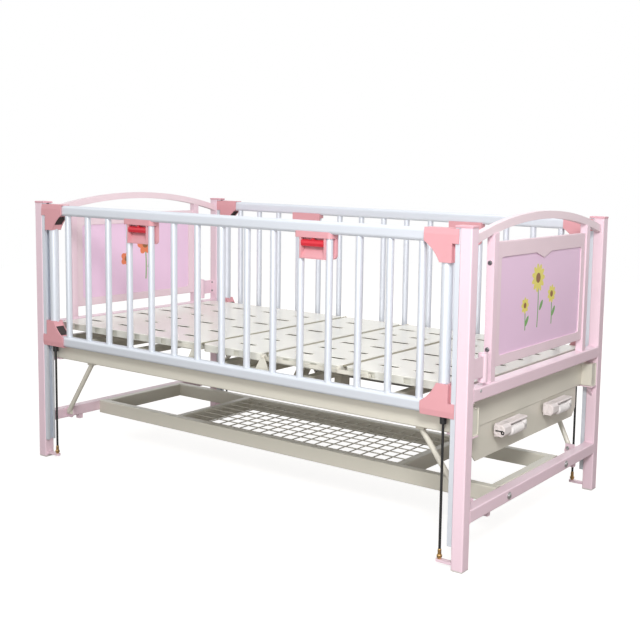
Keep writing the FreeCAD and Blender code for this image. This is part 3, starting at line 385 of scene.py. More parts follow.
# ---------------------------------------------------------------- screws and bolts
# Zinc-plated button heads with a hexagon socket hold the panels and the pole sockets.
# Larger domed heads with a collar bolt the base frame and the braces to the lower bars.


def plated(name, colour, roughness):
    """Bare or plated metal with faint clouds."""
    material, start, place = new_material(name)
    cloud = place.noise(60.0, 3.0)
    tint = patchy(cloud, colour, 0.82)
    end_material(start, {"Base Color": tint, "Roughness": cloud * 0.15 + roughness, "Metallic": 1.0})
    return material


def ring_faces(first, rows, sides, joined=False):
    """Faces over rings of points: the last ring meets the first, or both ends are capped."""
    faces = []
    for row in range(rows if joined else rows - 1):
        here, ahead = first + row * sides, first + (row + 1) % rows * sides
        for step in range(sides):
            beside = (step + 1) % sides
            faces.append((here + step, here + beside, ahead + beside, ahead + step))
    if not joined:
        last = first + (rows - 1) * sides
        faces.append(tuple(first + step for step in reversed(range(sides))))
        faces.append(tuple(last + step for step in range(sides)))
    return faces


def ring_solid(name, rings, sides=24):
    """A head built of rings (radius, flats, height) along Z, closed at both ends."""
    points = []
    for radius, flats, height in rings:
        for step in range(sides):
            turn = 2 * math.pi * step / sides
            reach = radius
            if flats:
                sector = 2 * math.pi / flats
                reach *= math.cos(sector / 2) / math.cos((turn % sector) - sector / 2)
            points.append((reach * math.cos(turn), reach * math.sin(turn), height))
    return new_piece(name, points, (), ring_faces(0, len(rings), sides))


def seat_pattern():
    """Sets one head on each point, with its axis along the point's facing."""
    group, start, given = new_pattern("seated_heads", ("Head", "Object"), ("Spin", "Float"))
    head = start.make("GeometryNodeObjectInfo", values={"Object": given["Head"]}).sister("Geometry")
    settings = {"data_type": "FLOAT_VECTOR"}
    facing = start.make("GeometryNodeInputNamedAttribute", settings, {"Name": "facing"})
    turn = start.make("FunctionNodeAlignEulerToVector", {"axis": "Z"}, {"Vector": facing})
    spin = start.make("ShaderNodeCombineXYZ", values={"Z": given["Spin"]})
    values = {"Rotation": turn, "Rotate By": spin}
    turn = start.make("FunctionNodeRotateEuler", {"space": "LOCAL"}, values)
    values = {"Points": given["Geometry"], "Instance": head, "Rotation": turn}
    end_pattern(start, given, start.make("GeometryNodeInstanceOnPoints", values=values))
    return group


def seated_heads(name, head, material, places):
    """One mesh of heads at (place, facing) pairs, in millimetres."""
    piece = new_piece(name, [place for place, _ in places])
    facing = piece.data.attributes.new("facing", "FLOAT_VECTOR", "POINT")
    for item, (_, way) in zip(facing.data, places):
        item.vector = way
    run_pattern(piece, seat_pattern(), material=material, head=head, spin=HEAD_SPIN)
    bpy.data.objects.remove(head)
    return piece


def shaped_head(name, size, outline):
    """A head of (radius, height) from its outline, in shares of both, with its flats."""
    radius, tall = size
    rings = [(radius, 0, -HEAD_SUNK)]
    rings += [(radius * wide, flats, tall * high) for wide, flats, high in outline]
    return ring_solid(name, rings)


def both_ends(places):
    """The given places, and the same turned half round the cot's middle."""
    turned = [((-x, -y, z), (-a, -b, c)) for (x, y, z), (a, b, c) in places]
    return places + turned


ZINC_GREY = (0.60, 0.60, 0.60)
ZINC_DARK = (0.30, 0.29, 0.30)
zinc = plated("zinc_plate", ZINC_GREY, 0.24)
dark_zinc = plated("dark_zinc", ZINC_DARK, 0.30)

# An outline has (share of the radius, number of flats or 0 for round, share of the height).
BUTTON = ((1, 0, 0.25), (0.93, 0, 0.6), (0.72, 0, 1), (0.5, 6, 1), (0.5, 6, 0.35))
DOME = ((1, 0, 0.22), (0.74, 0, 0.28), (0.72, 0, 0.6), (0.5, 0, 0.88), (0.2, 0, 1))
HEAD_SUNK = 0.5
HEAD_SPIN = 0.3
PANEL_SCREW = (7, 4)
SOCKET_SCREW = (4.5, 2.5)
CORNER_SCREW = (5, 1.5)
FRAME_BOLT = (11.5, 6)
LUG_BOLT = (6.5, 4)

PANEL_SCREW_X = 918
PANEL_SCREW_Z = (617, 866)
SOCKET_SCREW_X = 922
SOCKET_SEAT_Y = -438.3
SOCKET_SCREW_Z = (559, 597)
CORNER_SCREW_PLACE = (POST_X[1], -402, 511)
FRAME_BOLT_Y = 205
FRAME_BOLT_Z = 155
LUG_X = 875
LUG_Z = 165
LUG_FACE_Y = {1: 357, -1: 373}

places = [
    ((PANEL_SCREW_X, side * UPRIGHT_Y[1], z), (0, side, 0)) for side in (-1, 1) for z in PANEL_SCREW_Z
]
head = shaped_head("panel_head", PANEL_SCREW, BUTTON)
panel_heads = seated_heads("panel_screw_heads", head, dark_zinc, both_ends(places))
places = [((SOCKET_SCREW_X, SOCKET_SEAT_Y, z), (0, 1, 0)) for z in SOCKET_SCREW_Z]
head = shaped_head("socket_head", SOCKET_SCREW, BUTTON)
socket_heads = seated_heads("socket_screw_heads", head, dark_zinc, both_ends(places))
head = shaped_head("bar_head", CORNER_SCREW, BUTTON)
places = both_ends([(CORNER_SCREW_PLACE, (1, 0, 0))])
corner_heads = seated_heads("bar_screw_heads", head, zinc, places)
for piece in (panel_heads, socket_heads, corner_heads):
    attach(piece, "cot")
    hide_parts("panel_screws")

places = [((POST_X[1], side * FRAME_BOLT_Y, FRAME_BOLT_Z), (1, 0, 0)) for side in (-1, 1)]
head = shaped_head("frame_head", FRAME_BOLT, DOME)
bar_bolts = seated_heads("frame_bolt_heads", head, zinc, both_ends(places))
places = [
    ((end * LUG_X, side * face, LUG_Z), (0, -side, 0))
    for end, face in LUG_FACE_Y.items()
    for side in (-1, 1)
]
head = shaped_head("lug_head", LUG_BOLT, BUTTON)
lug_bolts = seated_heads("brace_bolt_heads", head, zinc, places)
for piece in (bar_bolts, lug_bolts):
    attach(piece, "cot")
    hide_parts("frame_bolts")

# ---------------------------------------------------------------- arches
# Rectangular steel tube, bent over each end and welded to the posts. Its coat is a paler
# pink than theirs.

ARCH_PAINT = (0.88, 0.71, 0.76)
dress(powder_coat("arch_coat", ARCH_PAINT), "head_arch", "foot_arch")

# ---------------------------------------------------------------- panel borders and boards
# A moulded border with a matt grain holds a laminated board. The board is pale mauve, and
# it slides out upwards.


def moulded(name, colour, roughness=0.42, grain=0.12):
    """Plastic or rubber with a matt grain and faint flow marks."""
    material, start, place = new_material(name)
    flow = place.noise(9.0, 2.0)
    values = {
        "Base Color": patchy(flow, colour, 0.94),
        "Roughness": flow * 0.12 + roughness,
        "Normal": relief(place.noise(900.0, 1.0), grain, 0.0003, 0.0010),
    }
    end_material(start, values)
    return material


BORDER_PINK = (0.87, 0.69, 0.75)
dress(moulded("border_plastic", BORDER_PINK), "head_panel_frame", "foot_panel_frame")


def flower(y, z, place, radius, petals):
    """Masks of a flower head, of its heart, and of its stem with one leaf."""
    across, up = y - place[0], z - place[1]
    far = (across * across + up * up).maths("SQRT", None)
    turn = up.maths("ARCTAN2", across)
    ripple = (turn * (petals / 2)).maths("COSINE", None).maths("ABSOLUTE", None)
    head = far.below(ripple * (radius * 0.3) + radius * 0.68)
    heart = far.below(radius * 0.34)
    bow = (up * 18.0).maths("SINE", None) * STEM_BOW
    stem = (across + bow).maths("ABSOLUTE", None).below(STEM_HALF) * up.below(0.0)
    stem = stem * z.maths("GREATER_THAN", STEM_FOOT)
    leaf_y, leaf_z = across - radius * 0.55, up + radius * 1.9
    tilt, lean = leaf_y - leaf_z * 0.7, leaf_z + leaf_y * 0.5
    leaf = (tilt * tilt * 5.0 + lean * lean).below(LEAF_SIZE)
    return head, heart, stem.maths("MAXIMUM", leaf)


def printed_laminate(name, petal_colour, heads):
    """Pale mauve laminate with a few flat printed flowers."""
    material, start, place = new_material(name)
    parts = start.make("ShaderNodeSeparateXYZ", values={"Vector": place})
    y, z = parts.sister("Y"), parts.sister("Z")
    cloud = place.noise(7.0, 2.0)
    tint = cloud.blend(BOARD_SHADE, BOARD_MAUVE)
    for spot, radius, petals in heads:
        head, heart, green = flower(y, z, spot, radius, petals)
        tint = green.blend(tint, LEAF_GREEN)
        tint = head.blend(tint, petal_colour)
        tint = heart.blend(tint, HEART_BROWN)
    end_material(start, {"Base Color": tint, "Roughness": cloud * 0.1 + 0.28})
    return material


BOARD_MAUVE = (0.88, 0.63, 0.82, 1)
BOARD_SHADE = (0.85, 0.60, 0.79, 1)
LEAF_GREEN = (0.20, 0.42, 0.13, 1)
HEART_BROWN = (0.30, 0.13, 0.05, 1)
SUN_YELLOW = (0.83, 0.72, 0.16, 1)
PETAL_RED = (0.80, 0.22, 0.10, 1)
STEM_FOOT = 0.645
STEM_HALF = 0.0028
STEM_BOW = 0.004
LEAF_SIZE = 0.00042

# Each flower head has its place on the board (y, z), its radius and its number of petals.
SUN_HEADS = (
    ((-0.030, 0.800), 0.046, 11),
    ((0.070, 0.742), 0.030, 9),
    ((-0.115, 0.722), 0.026, 8),
)
RED_HEADS = (((0.040, 0.790), 0.044, 6), ((-0.060, 0.735), 0.032, 5))
dress(printed_laminate("foot_laminate", SUN_YELLOW, SUN_HEADS), "foot_panel_insert")
dress(printed_laminate("head_laminate", PETAL_RED, RED_HEADS), "head_panel_insert")

# ---------------------------------------------------------------- pole sockets
# A short open steel tube for an infusion pole, welded to an angle plate that two screws
# hold to the side of the post. One stands at the foot end, one at the head end.


def face_out(piece):
    """Merges doubles and points all faces outwards."""
    shape = bmesh.new()
    shape.from_mesh(piece.data)
    bmesh.ops.remove_doubles(shape, verts=shape.verts, dist=1e-6)
    bmesh.ops.recalc_face_normals(shape, faces=shape.faces)
    shape.to_mesh(piece.data)
    shape.free()


def turned_piece(name, axis, centre, outline, sides=32):
    """A turned solid: outline is (distance along the axis, radius), closed at both ends."""
    points = []
    others = [i for i in range(3) if i != axis]
    for far, radius in outline:
        for step in range(sides):
            turn = 2 * math.pi * step / sides
            point = list(centre)
            point[axis] += far
            point[others[0]] += radius * math.cos(turn)
            point[others[1]] += radius * math.sin(turn)
            points.append(tuple(point))
    piece = new_piece(name, points, (), ring_faces(0, len(outline), sides))
    face_out(piece)
    smooth(piece)
    return piece


# Corners of a block's cross-section, each cut off: (side p, side q, step along p, along q).
CUT_CORNERS = (
    (0, 0, 0, 1),
    (0, 0, 1, 0),
    (1, 0, -1, 0),
    (1, 0, 0, 1),
    (1, 1, 0, -1),
    (1, 1, -1, 0),
    (0, 1, 1, 0),
    (0, 1, 0, -1),
)


def add_block(points, faces, low, high, cut=1.0):
    """A block whose four longest edges are cut off, between its low and high corners."""
    spans = [high[i] - low[i] for i in range(3)]
    long_axis = spans.index(max(spans))
    p, q = [axis for axis in range(3) if axis != long_axis]
    cut = min(cut, spans[p] * 0.4, spans[q] * 0.4)
    first = len(points)
    for end in (low[long_axis], high[long_axis]):
        for a, b, da, db in CUT_CORNERS:
            point = [0, 0, 0]
            point[long_axis] = end
            point[p] = (low[p], high[p])[a] + da * cut
            point[q] = (low[q], high[q])[b] + db * cut
            points.append(tuple(point))
    faces.extend(ring_faces(first, 2, len(CUT_CORNERS)))


def block_piece(name, blocks, material, body, cut=1.0):
    """One piece of blocks, each a pair of low and high corners."""
    points, faces = [], []
    for low, high in blocks:
        add_block(points, faces, low, high, cut)
    piece = new_piece(name, points, (), faces)
    face_out(piece)
    piece.data.materials.append(material)
    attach(piece, body)
    return piece


SOCKET_FOOT = (924.75, -373.0, 530.0)
SOCKET_WALL = (
    (13.2, 0),
    (14.0, 0.9),
    (14.0, 82.1),
    (13.2, 83),
    (12.3, 83),
    (11.6, 82.2),
    (11.6, 0.8),
    (12.3, 0),
)
ARM_PLATE = ((930.5, 933), (-384, -438.5))
FOOT_PLATE = ((911, 933), (-437.8, -440.5))
PLATE_Z = (547.0, 606.0)
PLATE_CUT = 0.8


def open_tube(points, faces, centre, wall, sides=28):
    """A turned ring: wall is a closed outline of (radius, height)."""
    first = len(points)
    for radius, height in wall:
        for step in range(sides):
            turn = 2 * math.pi * step / sides
            x, y = radius * math.cos(turn), radius * math.sin(turn)
            points.append((centre[0] + x, centre[1] + y, centre[2] + height))
    faces.extend(ring_faces(first, len(wall), sides, joined=True))


points, faces = [], []
for end in (-1, 1):
    foot_x, foot_y, foot_z = SOCKET_FOOT
    open_tube(points, faces, (end * foot_x, end * foot_y, foot_z), SOCKET_WALL)
    for plate in (ARM_PLATE, FOOT_PLATE):
        x, y = (sorted(end * value for value in span) for span in plate)
        low, high = (x[0], y[0], PLATE_Z[0]), (x[1], y[1], PLATE_Z[1])
        add_block(points, faces, low, high, PLATE_CUT)
pole_sockets = new_piece("pole_sockets", points, (), faces)
face_out(pole_sockets)
pole_sockets.data.materials.append(pink_coat)
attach(pole_sockets, "cot")
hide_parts("accessory_sockets")

# ---------------------------------------------------------------- caps and corners
# Salmon-pink mouldings: post caps, rail corners and latch housings. A corner is a hollow
# shell that is glued and screwed round the joint of two rail tubes.

SALMON = (0.75, 0.365, 0.40)
CAP_SALMON = (0.76, 0.42, 0.48)
salmon_plastic = moulded("salmon_plastic", SALMON)
dress(moulded("cap_plastic", CAP_SALMON), "post_caps")
for side in ("right", "left"):
    dress(salmon_plastic, side + "_rail_corners", side + "_latch_housings")

# A web joins the two cheeks of each corner at the foot of its curved edge.
WEB_LINE = ((836.6, 872.5), (834.6, 879), (831.6, 885.5), (827.4, 891.5))
SHADE_STRIP_LINE = ((799, 921), (811, 911), (820.5, 901), (827.5, 891.5))
WEB_THICK = 2.2
CHEEK_Y = 16.9
RAIL_Y = -460.5
RAIL_MIDDLE_Z = 702.0


def corner_web(points, faces, line, along, flip, side):
    """A curved strip between the cheeks: along is the end, flip the lower corner."""
    first = len(points)
    for x, z in line:
        height = 2 * RAIL_MIDDLE_Z - z if flip else z
        for dx, y in ((0, -CHEEK_Y), (0, CHEEK_Y), (WEB_THICK, CHEEK_Y), (WEB_THICK, -CHEEK_Y)):
            points.append((along * (x + dx), side * RAIL_Y + y, height))
    faces.extend(ring_faces(first, len(line), 4))


# Between the cheeks, along the curve, lies a black strip: painted shade, a dark sheet where the
# hollow inside the corner lies in shade.
CORNER_SHADE_BLACK = (0.030, 0.018, 0.018)
dark_rubber = moulded("dark_rubber", CORNER_SHADE_BLACK, 0.6)
for side, name in ((1, "right"), (-1, "left")):
    for part, line, material, slot in (
        ("webs", WEB_LINE, salmon_plastic, "pink_plastic"),
        ("gaskets", SHADE_STRIP_LINE, dark_rubber, "rubber"),
    ):
        points, faces = [], []
        for along in (-1, 1):
            for flip in (False, True):
                corner_web(points, faces, line, along, flip, side)
        web = new_piece(name + "_corner_" + part, points, (), faces)
        face_out(web)
        web.data.materials.append(material)
        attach(web, name + "_rail")

# ---------------------------------------------------------------- latch bolts and ball ends
# Zinc-plated latch bolts, and turned brass ball ends on the gas spring rods.

LATCHES = ("right_foot", "right_head", "left_foot", "left_head")
BRASS = (0.62, 0.40, 0.17)
for latch in LATCHES:
    dress(zinc, latch + "_latch_bolt")
dress(plated("turned_brass", BRASS, 0.25), "rod_ball_ends")

# ---------------------------------------------------------------- side rails and guides
# Extruded aluminium, silver anodised: the tubes and bars of the rails, and the guides that
# are screwed to the posts. Fine die lines run along each length.


def anodised(name, colour, roughness, stretch):
    """Anodised aluminium with die lines along the axis whose stretch is small."""
    material, start, place = new_material(name)
    along = start.make("ShaderNodeMapping", values={"Vector": place, "Scale": stretch})
    lines = along.noise(1.0, 2.0)
    values = {
        "Base Color": patchy(lines, colour, 0.93),
        "Roughness": lines * 0.12 + roughness,
        "Metallic": 0.3,
        "Normal": relief(lines, 0.08, 0.0002, 0.0010),
    }
    end_material(start, values)
    return material


SILVER = (0.755, 0.795, 0.86)
UPRIGHT_LINES = (700, 700, 2)
LENGTHWISE_LINES = (2, 700, 700)
upright_silver = anodised("upright_silver", SILVER, 0.36, UPRIGHT_LINES)
long_silver = anodised("long_silver", SILVER, 0.36, LENGTHWISE_LINES)
dress(upright_silver, "slide_guides", "right_rail_bars", "left_rail_bars")
dress(long_silver, "right_rail_frame", "left_rail_frame")

# ---------------------------------------------------------------- latch levers
# Glossy red finger levers, injection moulded. Each turns on a steel pin in its latch
# housing and draws the bolt back.

LEVER_RED = (0.70, 0.03, 0.05)
lever_plastic = moulded("lever_plastic", LEVER_RED, 0.22, 0.03)
for latch in LATCHES:
    dress(lever_plastic, latch + "_latch_lever")

# ---------------------------------------------------------------- gas springs
# Black painted cylinders that slide on black nitrided rods. One stands in each end tube of
# a rail and carries its share of the rail's weight.

GAS_BLACK = (0.02, 0.02, 0.022)
gas_black = powder_coat("gas_black", GAS_BLACK, 0.25)
dress(gas_black, "gas_rods", "right_gas_cylinders", "left_gas_cylinders")

# ---------------------------------------------------------------- bed frame and base frame
# Rectangular steel tube and folded plate, welded and sprayed with an ivory powder coat.
# The base frame carries a shelf of welded wire.

IVORY = (0.72, 0.69, 0.60)
ivory_coat = powder_coat("ivory_coat", IVORY)
dress(
    ivory_coat,
    "bed_side_rails",
    "bed_head_rail",
    "bed_cross_members",
    "screw_bearings",
    "crank_plate",
    "hinge_posts",
    "base_frame",
    "mesh_shelf",
    "braces",
    "back_underframe",
    "thigh_underframe",
    "calf_underframe",
)

# ---------------------------------------------------------------- deck
# Four pressed steel pans with long slots, in a paler coat than the frame. The seat pan is
# fixed; the back, thigh and calf pans are hinged to their neighbours.


def deck_finish(name, colour, painted_shade_colour, share):
    """Glossy coat on pressed sheet, with painted shade on its steep walls below the top skin."""
    material, start, place = new_material(name)
    cloud = place.noise(4.0, 3.0)
    tint = patchy(cloud, colour, 0.96)
    height = start.make("ShaderNodeSeparateXYZ", values={"Vector": place}, output=2)
    slanted = start.make("ShaderNodeNewGeometry").sister("Normal")
    steep = start.make("ShaderNodeSeparateXYZ", values={"Vector": slanted}, output=2)
    steep = steep.maths("ABSOLUTE", None).below(0.3)
    # Painted shade: steep faces below the top skin blend towards the painted shade colour by the
    # share.
    under = height.below(DECK_SKIN_LOW) * steep
    values = {
        "Base Color": (under * share).blend(tint, painted_shade_colour),
        "Roughness": cloud * 0.08 + 0.19,
        "Coat Weight": 0.12,
        "Coat Roughness": 0.08,
        "Normal": relief(place.noise(14.0, 1.0), 0.5, 0.0016, 0.0015),
    }
    end_material(start, values)
    return material


DECK_WHITE = (0.80, 0.79, 0.715)
# Painted shade colours for the steep walls of the pans and for the slots' turned-down walls.
DECK_PAINTED_SHADE = (0.20, 0.185, 0.15, 1)
LIP_PAINTED_SHADE = (0.045, 0.04, 0.03, 1)
DECK_TOP = 520.0
DECK_SKIN_LOW = 0.5188
deck_coat = deck_finish("deck_coat", DECK_WHITE, DECK_PAINTED_SHADE, 0.18)
lip_coat = deck_finish("lip_coat", DECK_WHITE, LIP_PAINTED_SHADE, 1.0)

# Each slot has a raised lip that is turned down inside, pressed from the sheet. The turned-down
# wall is painted nearly black, as painted shade inside the slot.
PAN_NODES = {
    "back_section": "back_deck",
    "cot": "seat_deck",
    "thigh_section": "thigh_deck",
    "calf_section": "calf_deck",
}
SLOT_HALF_LONG = 25.0
SLOT_RADIUS = 11.0
SLOT_CUT = (-4, 3)
SLOT_ROW_PITCH = 122.0
SLOT_ROW_SHIFT = -11.0
SLOT_ROWS = [SLOT_ROW_PITCH * (number - 2.5) + SLOT_ROW_SHIFT for number in range(6)]
SLOT_COLUMNS = {
    "back_section": (-800, -627, -454, -281),
    "cot": (-15,),
    "thigh_section": (232, 362),
    "calf_section": (568, 696, 806),
}
LIP_SIDES = 24

# Rings of the lip: (offset from the slot's edge, height over the skin).
LIP_RINGS = (
    (3.4, 0.0),
    (2.2, 0.75),
    (0.8, 0.9),
    (-0.2, 0.3),
    (-0.7, -1.5),
    (-0.7, -7.5),
    (0.3, -7.5),
    (0.3, -1.6),
)


def slot_outline(offset):
    """The slot's edge, moved outwards by the offset."""
    reach = SLOT_RADIUS + offset
    outline = []
    for step in range(LIP_SIDES):
        turn = 2 * math.pi * (step + 0.5) / LIP_SIDES
        way = math.copysign(SLOT_HALF_LONG, math.cos(turn))
        outline.append((way + reach * math.cos(turn), reach * math.sin(turn)))
    return outline


def slot_lip():
    """The lip of one slot, round the slot's middle."""
    points = [(x, y, height) for offset, height in LIP_RINGS for x, y in slot_outline(offset)]
    faces = ring_faces(0, len(LIP_RINGS), LIP_SIDES, joined=True)
    piece = new_piece("slot_lip", points, (), faces)
    face_out(piece)
    return piece


def lip_pattern():
    """Sets one lip on each point."""
    group, start, given = new_pattern("slot_lips", ("Lip", "Object"))
    lip = start.make("GeometryNodeObjectInfo", values={"Object": given["Lip"]}).sister("Geometry")
    values = {"Points": given["Geometry"], "Instance": lip}
    end_pattern(start, given, start.make("GeometryNodeInstanceOnPoints", values=values))
    return group


def slot_cutters(columns):
    """Upright prisms, each with the outline of one slot."""
    points, faces = [], []
    for x in columns:
        for y in SLOT_ROWS:
            faces.extend(ring_faces(len(points), 2, LIP_SIDES))
            for height in SLOT_CUT:
                points.extend((x + dx, y + dy, DECK_TOP + height) for dx, dy in slot_outline(0))
    cutter = new_piece("slot_cutter", points, (), faces)
    face_out(cutter)
    return cutter


def slotted_pan(node, body, columns):
    """Stands for a section's pan: the same pan with its slots opened to their full width."""
    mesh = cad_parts[node].data.copy()
    pan = bpy.data.objects.new(node + "_pan", mesh)
    bpy.context.collection.objects.link(pan)
    shape = bmesh.new()
    shape.from_mesh(mesh)
    bmesh.ops.remove_doubles(shape, verts=shape.verts, dist=1e-5)
    shape.to_mesh(mesh)
    shape.free()
    cutter = slot_cutters(columns)
    cut = pan.modifiers.new("slots", "BOOLEAN")
    cut.operation = "DIFFERENCE"
    cut.solver = "EXACT"
    cut.object = cutter
    seen = bpy.context.evaluated_depsgraph_get()
    mesh = bpy.data.meshes.new_from_object(pan.evaluated_get(seen))
    pan.modifiers.clear()
    pan.data = mesh
    bpy.data.objects.remove(cutter)
    mesh.materials.clear()
    mesh.materials.append(deck_coat)
    for polygon in mesh.polygons:
        polygon.material_index = 0
    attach(pan, body)
    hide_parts(node)


for body, node in PAN_NODES.items():
    slotted_pan(node, body, SLOT_COLUMNS[body])

lips = lip_pattern()
lip = slot_lip()
for body, columns in SLOT_COLUMNS.items():
    piece = new_piece("slot_lips_" + body, [(x, y, DECK_TOP) for x in columns for y in SLOT_ROWS])
    run_pattern(piece, lips, material=lip_coat, lip=lip)
    smooth(piece)
    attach(piece, body)
bpy.data.objects.remove(lip)

# Matt olive strips close most of the gap at each seam: painted shade, a dark sheet where the gap
# between the pans lies in shade. Liners stand behind the windows in the sides of the pans, in a
# grey painted darker than the pans as shade in the windows.
SEAM_SHADE_OLIVE = (0.33, 0.31, 0.235)
LINER_SHADE_GREY = (0.60, 0.59, 0.51)
SEAM_BAND_X = {"back_section": ((-160, -144),), "thigh_section": ((133, 149), (445, 459))}
SEAM_BAND_HALF = 392
SEAM_BAND_Z = (514.5, 519.0)
LINER_X = {
    "back_section": (-862, -183),
    "cot": (-115, 105),
    "thigh_section": (172, 422),
    "calf_section": (492, 862),
}
LINER_Y = (406.5, 408)
LINER_Z = (496.5, 518)
LINER_CUT = 0.3

seam_coat = moulded("seam_coat", SEAM_SHADE_OLIVE, 0.85)
# The liners' grey is darker than the pans' coat, as painted shade behind the windows.
liner_coat = powder_coat("liner_coat", LINER_SHADE_GREY)
for body, (x0, x1) in LINER_X.items():
    blocks = []
    for low_x, high_x in SEAM_BAND_X.get(body, ()):
        blocks.append(((low_x, -SEAM_BAND_HALF, SEAM_BAND_Z[0]), (high_x, SEAM_BAND_HALF, SEAM_BAND_Z[1])))
    if blocks:
        block_piece("seam_covers_" + body, blocks, seam_coat, body)
    blocks = []
    for side in (-1, 1):
        y0, y1 = sorted(side * y for y in LINER_Y)
        blocks.append(((x0, y0, LINER_Z[0]), (x1, y1, LINER_Z[1])))
    block_piece("window_liners_" + body, blocks, liner_coat, body, LINER_CUT)

# ---------------------------------------------------------------- cranks and small mouldings
# The two folding handles are moulded in a pinkish white plastic and pinned to the ends of
# their lead screws. Glides are nylon, and the pads are rubber.

CRANK_WHITE = (0.80, 0.735, 0.725)
GRIP_WHITE = (0.84, 0.80, 0.79)
crank_plastic = moulded("crank_plastic", CRANK_WHITE)
grip_plastic = moulded("grip_plastic", GRIP_WHITE, 0.34)
dress(zinc, "back_push_tube", "knee_pull_tube")

CRANK_Y = {"back": 133.0, "knee": -201.0}
SCREW_Z = 360.0
SCREW_START = {"back": 236.0, "knee": 440.0}
SCREW_END = 850.0
THREAD_PITCH = 5.0
THREAD_ROOT = 7.0
THREAD_CREST = 8.0
THRUST_LINE = ((0, 12), (1, 13), (7.5, 13), (8.5, 12), (8.5, 7), (48.9, 7))

GRIP_PLACE = (924.5, 350.5)
GRIP_LONG = 103.0
GRIP_WIDE = 15.5
GRIP_GROOVE = 13.4
GRIP_RIBS = 6
RIB_START = 14.0
RIB_PITCH = 10.8
PIVOT_X = 920.5
PIVOT_Z = 354.0
KNUCKLE_LINE = ((-14, 9), (-13.4, 11.6), (-11, 13), (11, 13), (13.4, 11.6), (14, 9))

# Blocks of a crank's arm: their x, their y from the lead screw, their z and how far their
# edges are cut: boss, back plate, top plate, lower fork and stiffening rib.
ARM_BLOCKS = (
    ((899, 936.5), (-44, -2), (341.5, 379), 9),
    ((899, 905.5), (-40, 116), (338, 379), 2.2),
    ((903, 933), (-6, 111), (371, 379), 3),
    ((904, 931), (92, 111), (337.3, 339.3), 0.7),
    ((907, 911), (-30, 92), (377, 381), 1.2),
)
BOSS_FACE = -44
BOSS_RING = (908.5, 5.6, 13.5, 1.7)
BOSS_BEAD = (925.5, 6.6, 12.5, 2.2)
ARM_PIN_LOW = 338
ARM_PIN_LINE = ((0, 3), (34, 3))
ARM_COLLAR_X = 893.5
ARM_COLLAR_LINE = ((0, 11), (1, 12), (6, 12))


def grip_outline():
    """Round nose, ribbed handle, plain neck."""
    line = [(1.0, 3.0), (1.4, 7.4), (2.8, 11.2), (5.0, 13.8), (8.5, 15.2), (12.0, GRIP_WIDE)]
    for rib in range(GRIP_RIBS):
        start = RIB_START + rib * RIB_PITCH
        line += [(start, GRIP_WIDE), (start + 1.4, GRIP_GROOVE)]
        line += [(start + 4.0, GRIP_GROOVE), (start + 5.4, GRIP_WIDE)]
    return line + [(79.0, 15.3), (83.0, 13.0), (88.0, 10.6), (GRIP_LONG, 10.2)]


def thread_outline(length):
    """The thread as rings without a slope, each turn a root and a crest."""
    line = []
    for turn in range(int(length / THREAD_PITCH)):
        start = turn * THREAD_PITCH
        line += [(start, THREAD_ROOT), (start + 1.2, THREAD_ROOT)]
        line += [(start + 1.9, THREAD_CREST), (start + 4.2, THREAD_CREST)]
    return line + [(length, THREAD_ROOT)]


def oval_ring(name, centre, half_wide, half_tall, wire):
    """A raised oval bead on a face that looks along Y."""
    points = []
    steps, sides = 32, 8
    for step in range(steps):
        turn = 2 * math.pi * step / steps
        x, z = math.cos(turn), math.sin(turn)
        rise = math.copysign(half_tall - half_wide, z) if abs(z) > 1e-9 else 0
        for side in range(sides):
            lean = 2 * math.pi * side / sides
            reach = half_wide + wire * math.cos(lean)
            out = centre[1] + wire * math.sin(lean)
            points.append((centre[0] + x * reach, out, centre[2] + rise + z * reach))
    piece = new_piece(name, points, (), ring_faces(0, steps, sides, joined=True))
    face_out(piece)
    smooth(piece)
    return piece


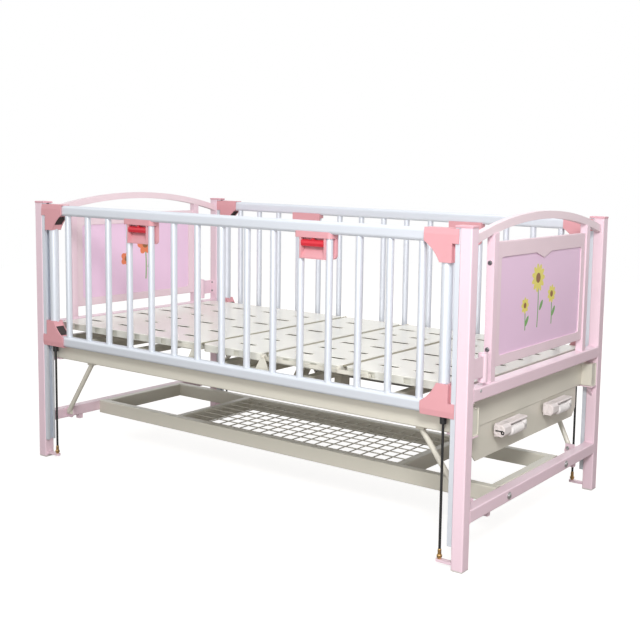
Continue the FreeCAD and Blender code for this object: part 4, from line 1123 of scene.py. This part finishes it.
for crank, y in CRANK_Y.items():
    grip = turned_piece(crank + "_hand_grip", 1, (GRIP_PLACE[0], y, GRIP_PLACE[1]), grip_outline())
    pivot = (PIVOT_X, y + GRIP_LONG, PIVOT_Z)
    knuckle = turned_piece(crank + "_grip_knuckle", 2, pivot, KNUCKLE_LINE)
    for piece in (grip, knuckle):
        piece.data.materials.append(grip_plastic)
        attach(piece, crank + "_grip")
        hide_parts(crank + "_crank_grip")
    points, faces = [], []
    for (x0, x1), (y0, y1), (z0, z1), cut in ARM_BLOCKS:
        add_block(points, faces, (x0, y + y0, z0), (x1, y + y1, z1), cut)
    arm = new_piece(crank + "_arm", points, (), faces)
    face_out(arm)
    rings = []
    for part, (x, *sizes) in (("_boss_ring", BOSS_RING), ("_boss_bead", BOSS_BEAD)):
        rings.append(oval_ring(crank + part, (x, y + BOSS_FACE, SCREW_Z), *sizes))
    pivot = (PIVOT_X, y + GRIP_LONG, ARM_PIN_LOW)
    pin = turned_piece(crank + "_arm_pin", 2, pivot, ARM_PIN_LINE, 16)
    collar = turned_piece(crank + "_arm_collar", 0, (ARM_COLLAR_X, y, SCREW_Z), ARM_COLLAR_LINE)
    for piece in (arm, *rings, pin, collar):
        piece.data.materials.append(crank_plastic)
        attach(piece, crank + "_crank")
        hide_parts(crank + "_crank_arm")
    start = SCREW_START[crank]
    thread = thread_outline(SCREW_END - start)
    screw = turned_piece(crank + "_lead_thread", 0, (start, y, SCREW_Z), thread, 20)
    collar = turned_piece(crank + "_thrust_collar", 0, (SCREW_END, y, SCREW_Z), THRUST_LINE)
    for piece in (screw, collar):
        piece.data.materials.append(zinc)
        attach(piece, crank + "_crank")
        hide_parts(crank + "_crank_screw")

# A black steel ring and pin on the knee crank's boss hold its handle when it is folded.
CATCH_FACE = CRANK_Y["knee"] - 45.0
CATCH_PLACE = (929.5, CATCH_FACE, 355.0)
CATCH_SIZES = (4.0, 4.6, 2.0)
CATCH_PIN = ((906, CATCH_FACE - 1.4, 356.8), (926, CATCH_FACE + 1.2, 360.6))
BLACKENED = (0.035, 0.033, 0.033)
black_steel = plated("black_steel", BLACKENED, 0.35)
catch = oval_ring("knee_catch_ring", CATCH_PLACE, *CATCH_SIZES)
catch.data.materials.append(black_steel)
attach(catch, "knee_crank")
block_piece("knee_catch_pin", [CATCH_PIN], black_steel, "knee_crank", 0.8)

NYLON_GREY = (0.30, 0.30, 0.31)
NYLON_IVORY = (0.74, 0.70, 0.67)
RUBBER_BLACK = (0.03, 0.03, 0.03)
dress(moulded("grey_nylon", NYLON_GREY), "calf_glides")
dress(moulded("ivory_nylon", NYLON_IVORY), "leg_glides")
dress(moulded("buffer_rubber", RUBBER_BLACK, 0.6), "rest_buffers")
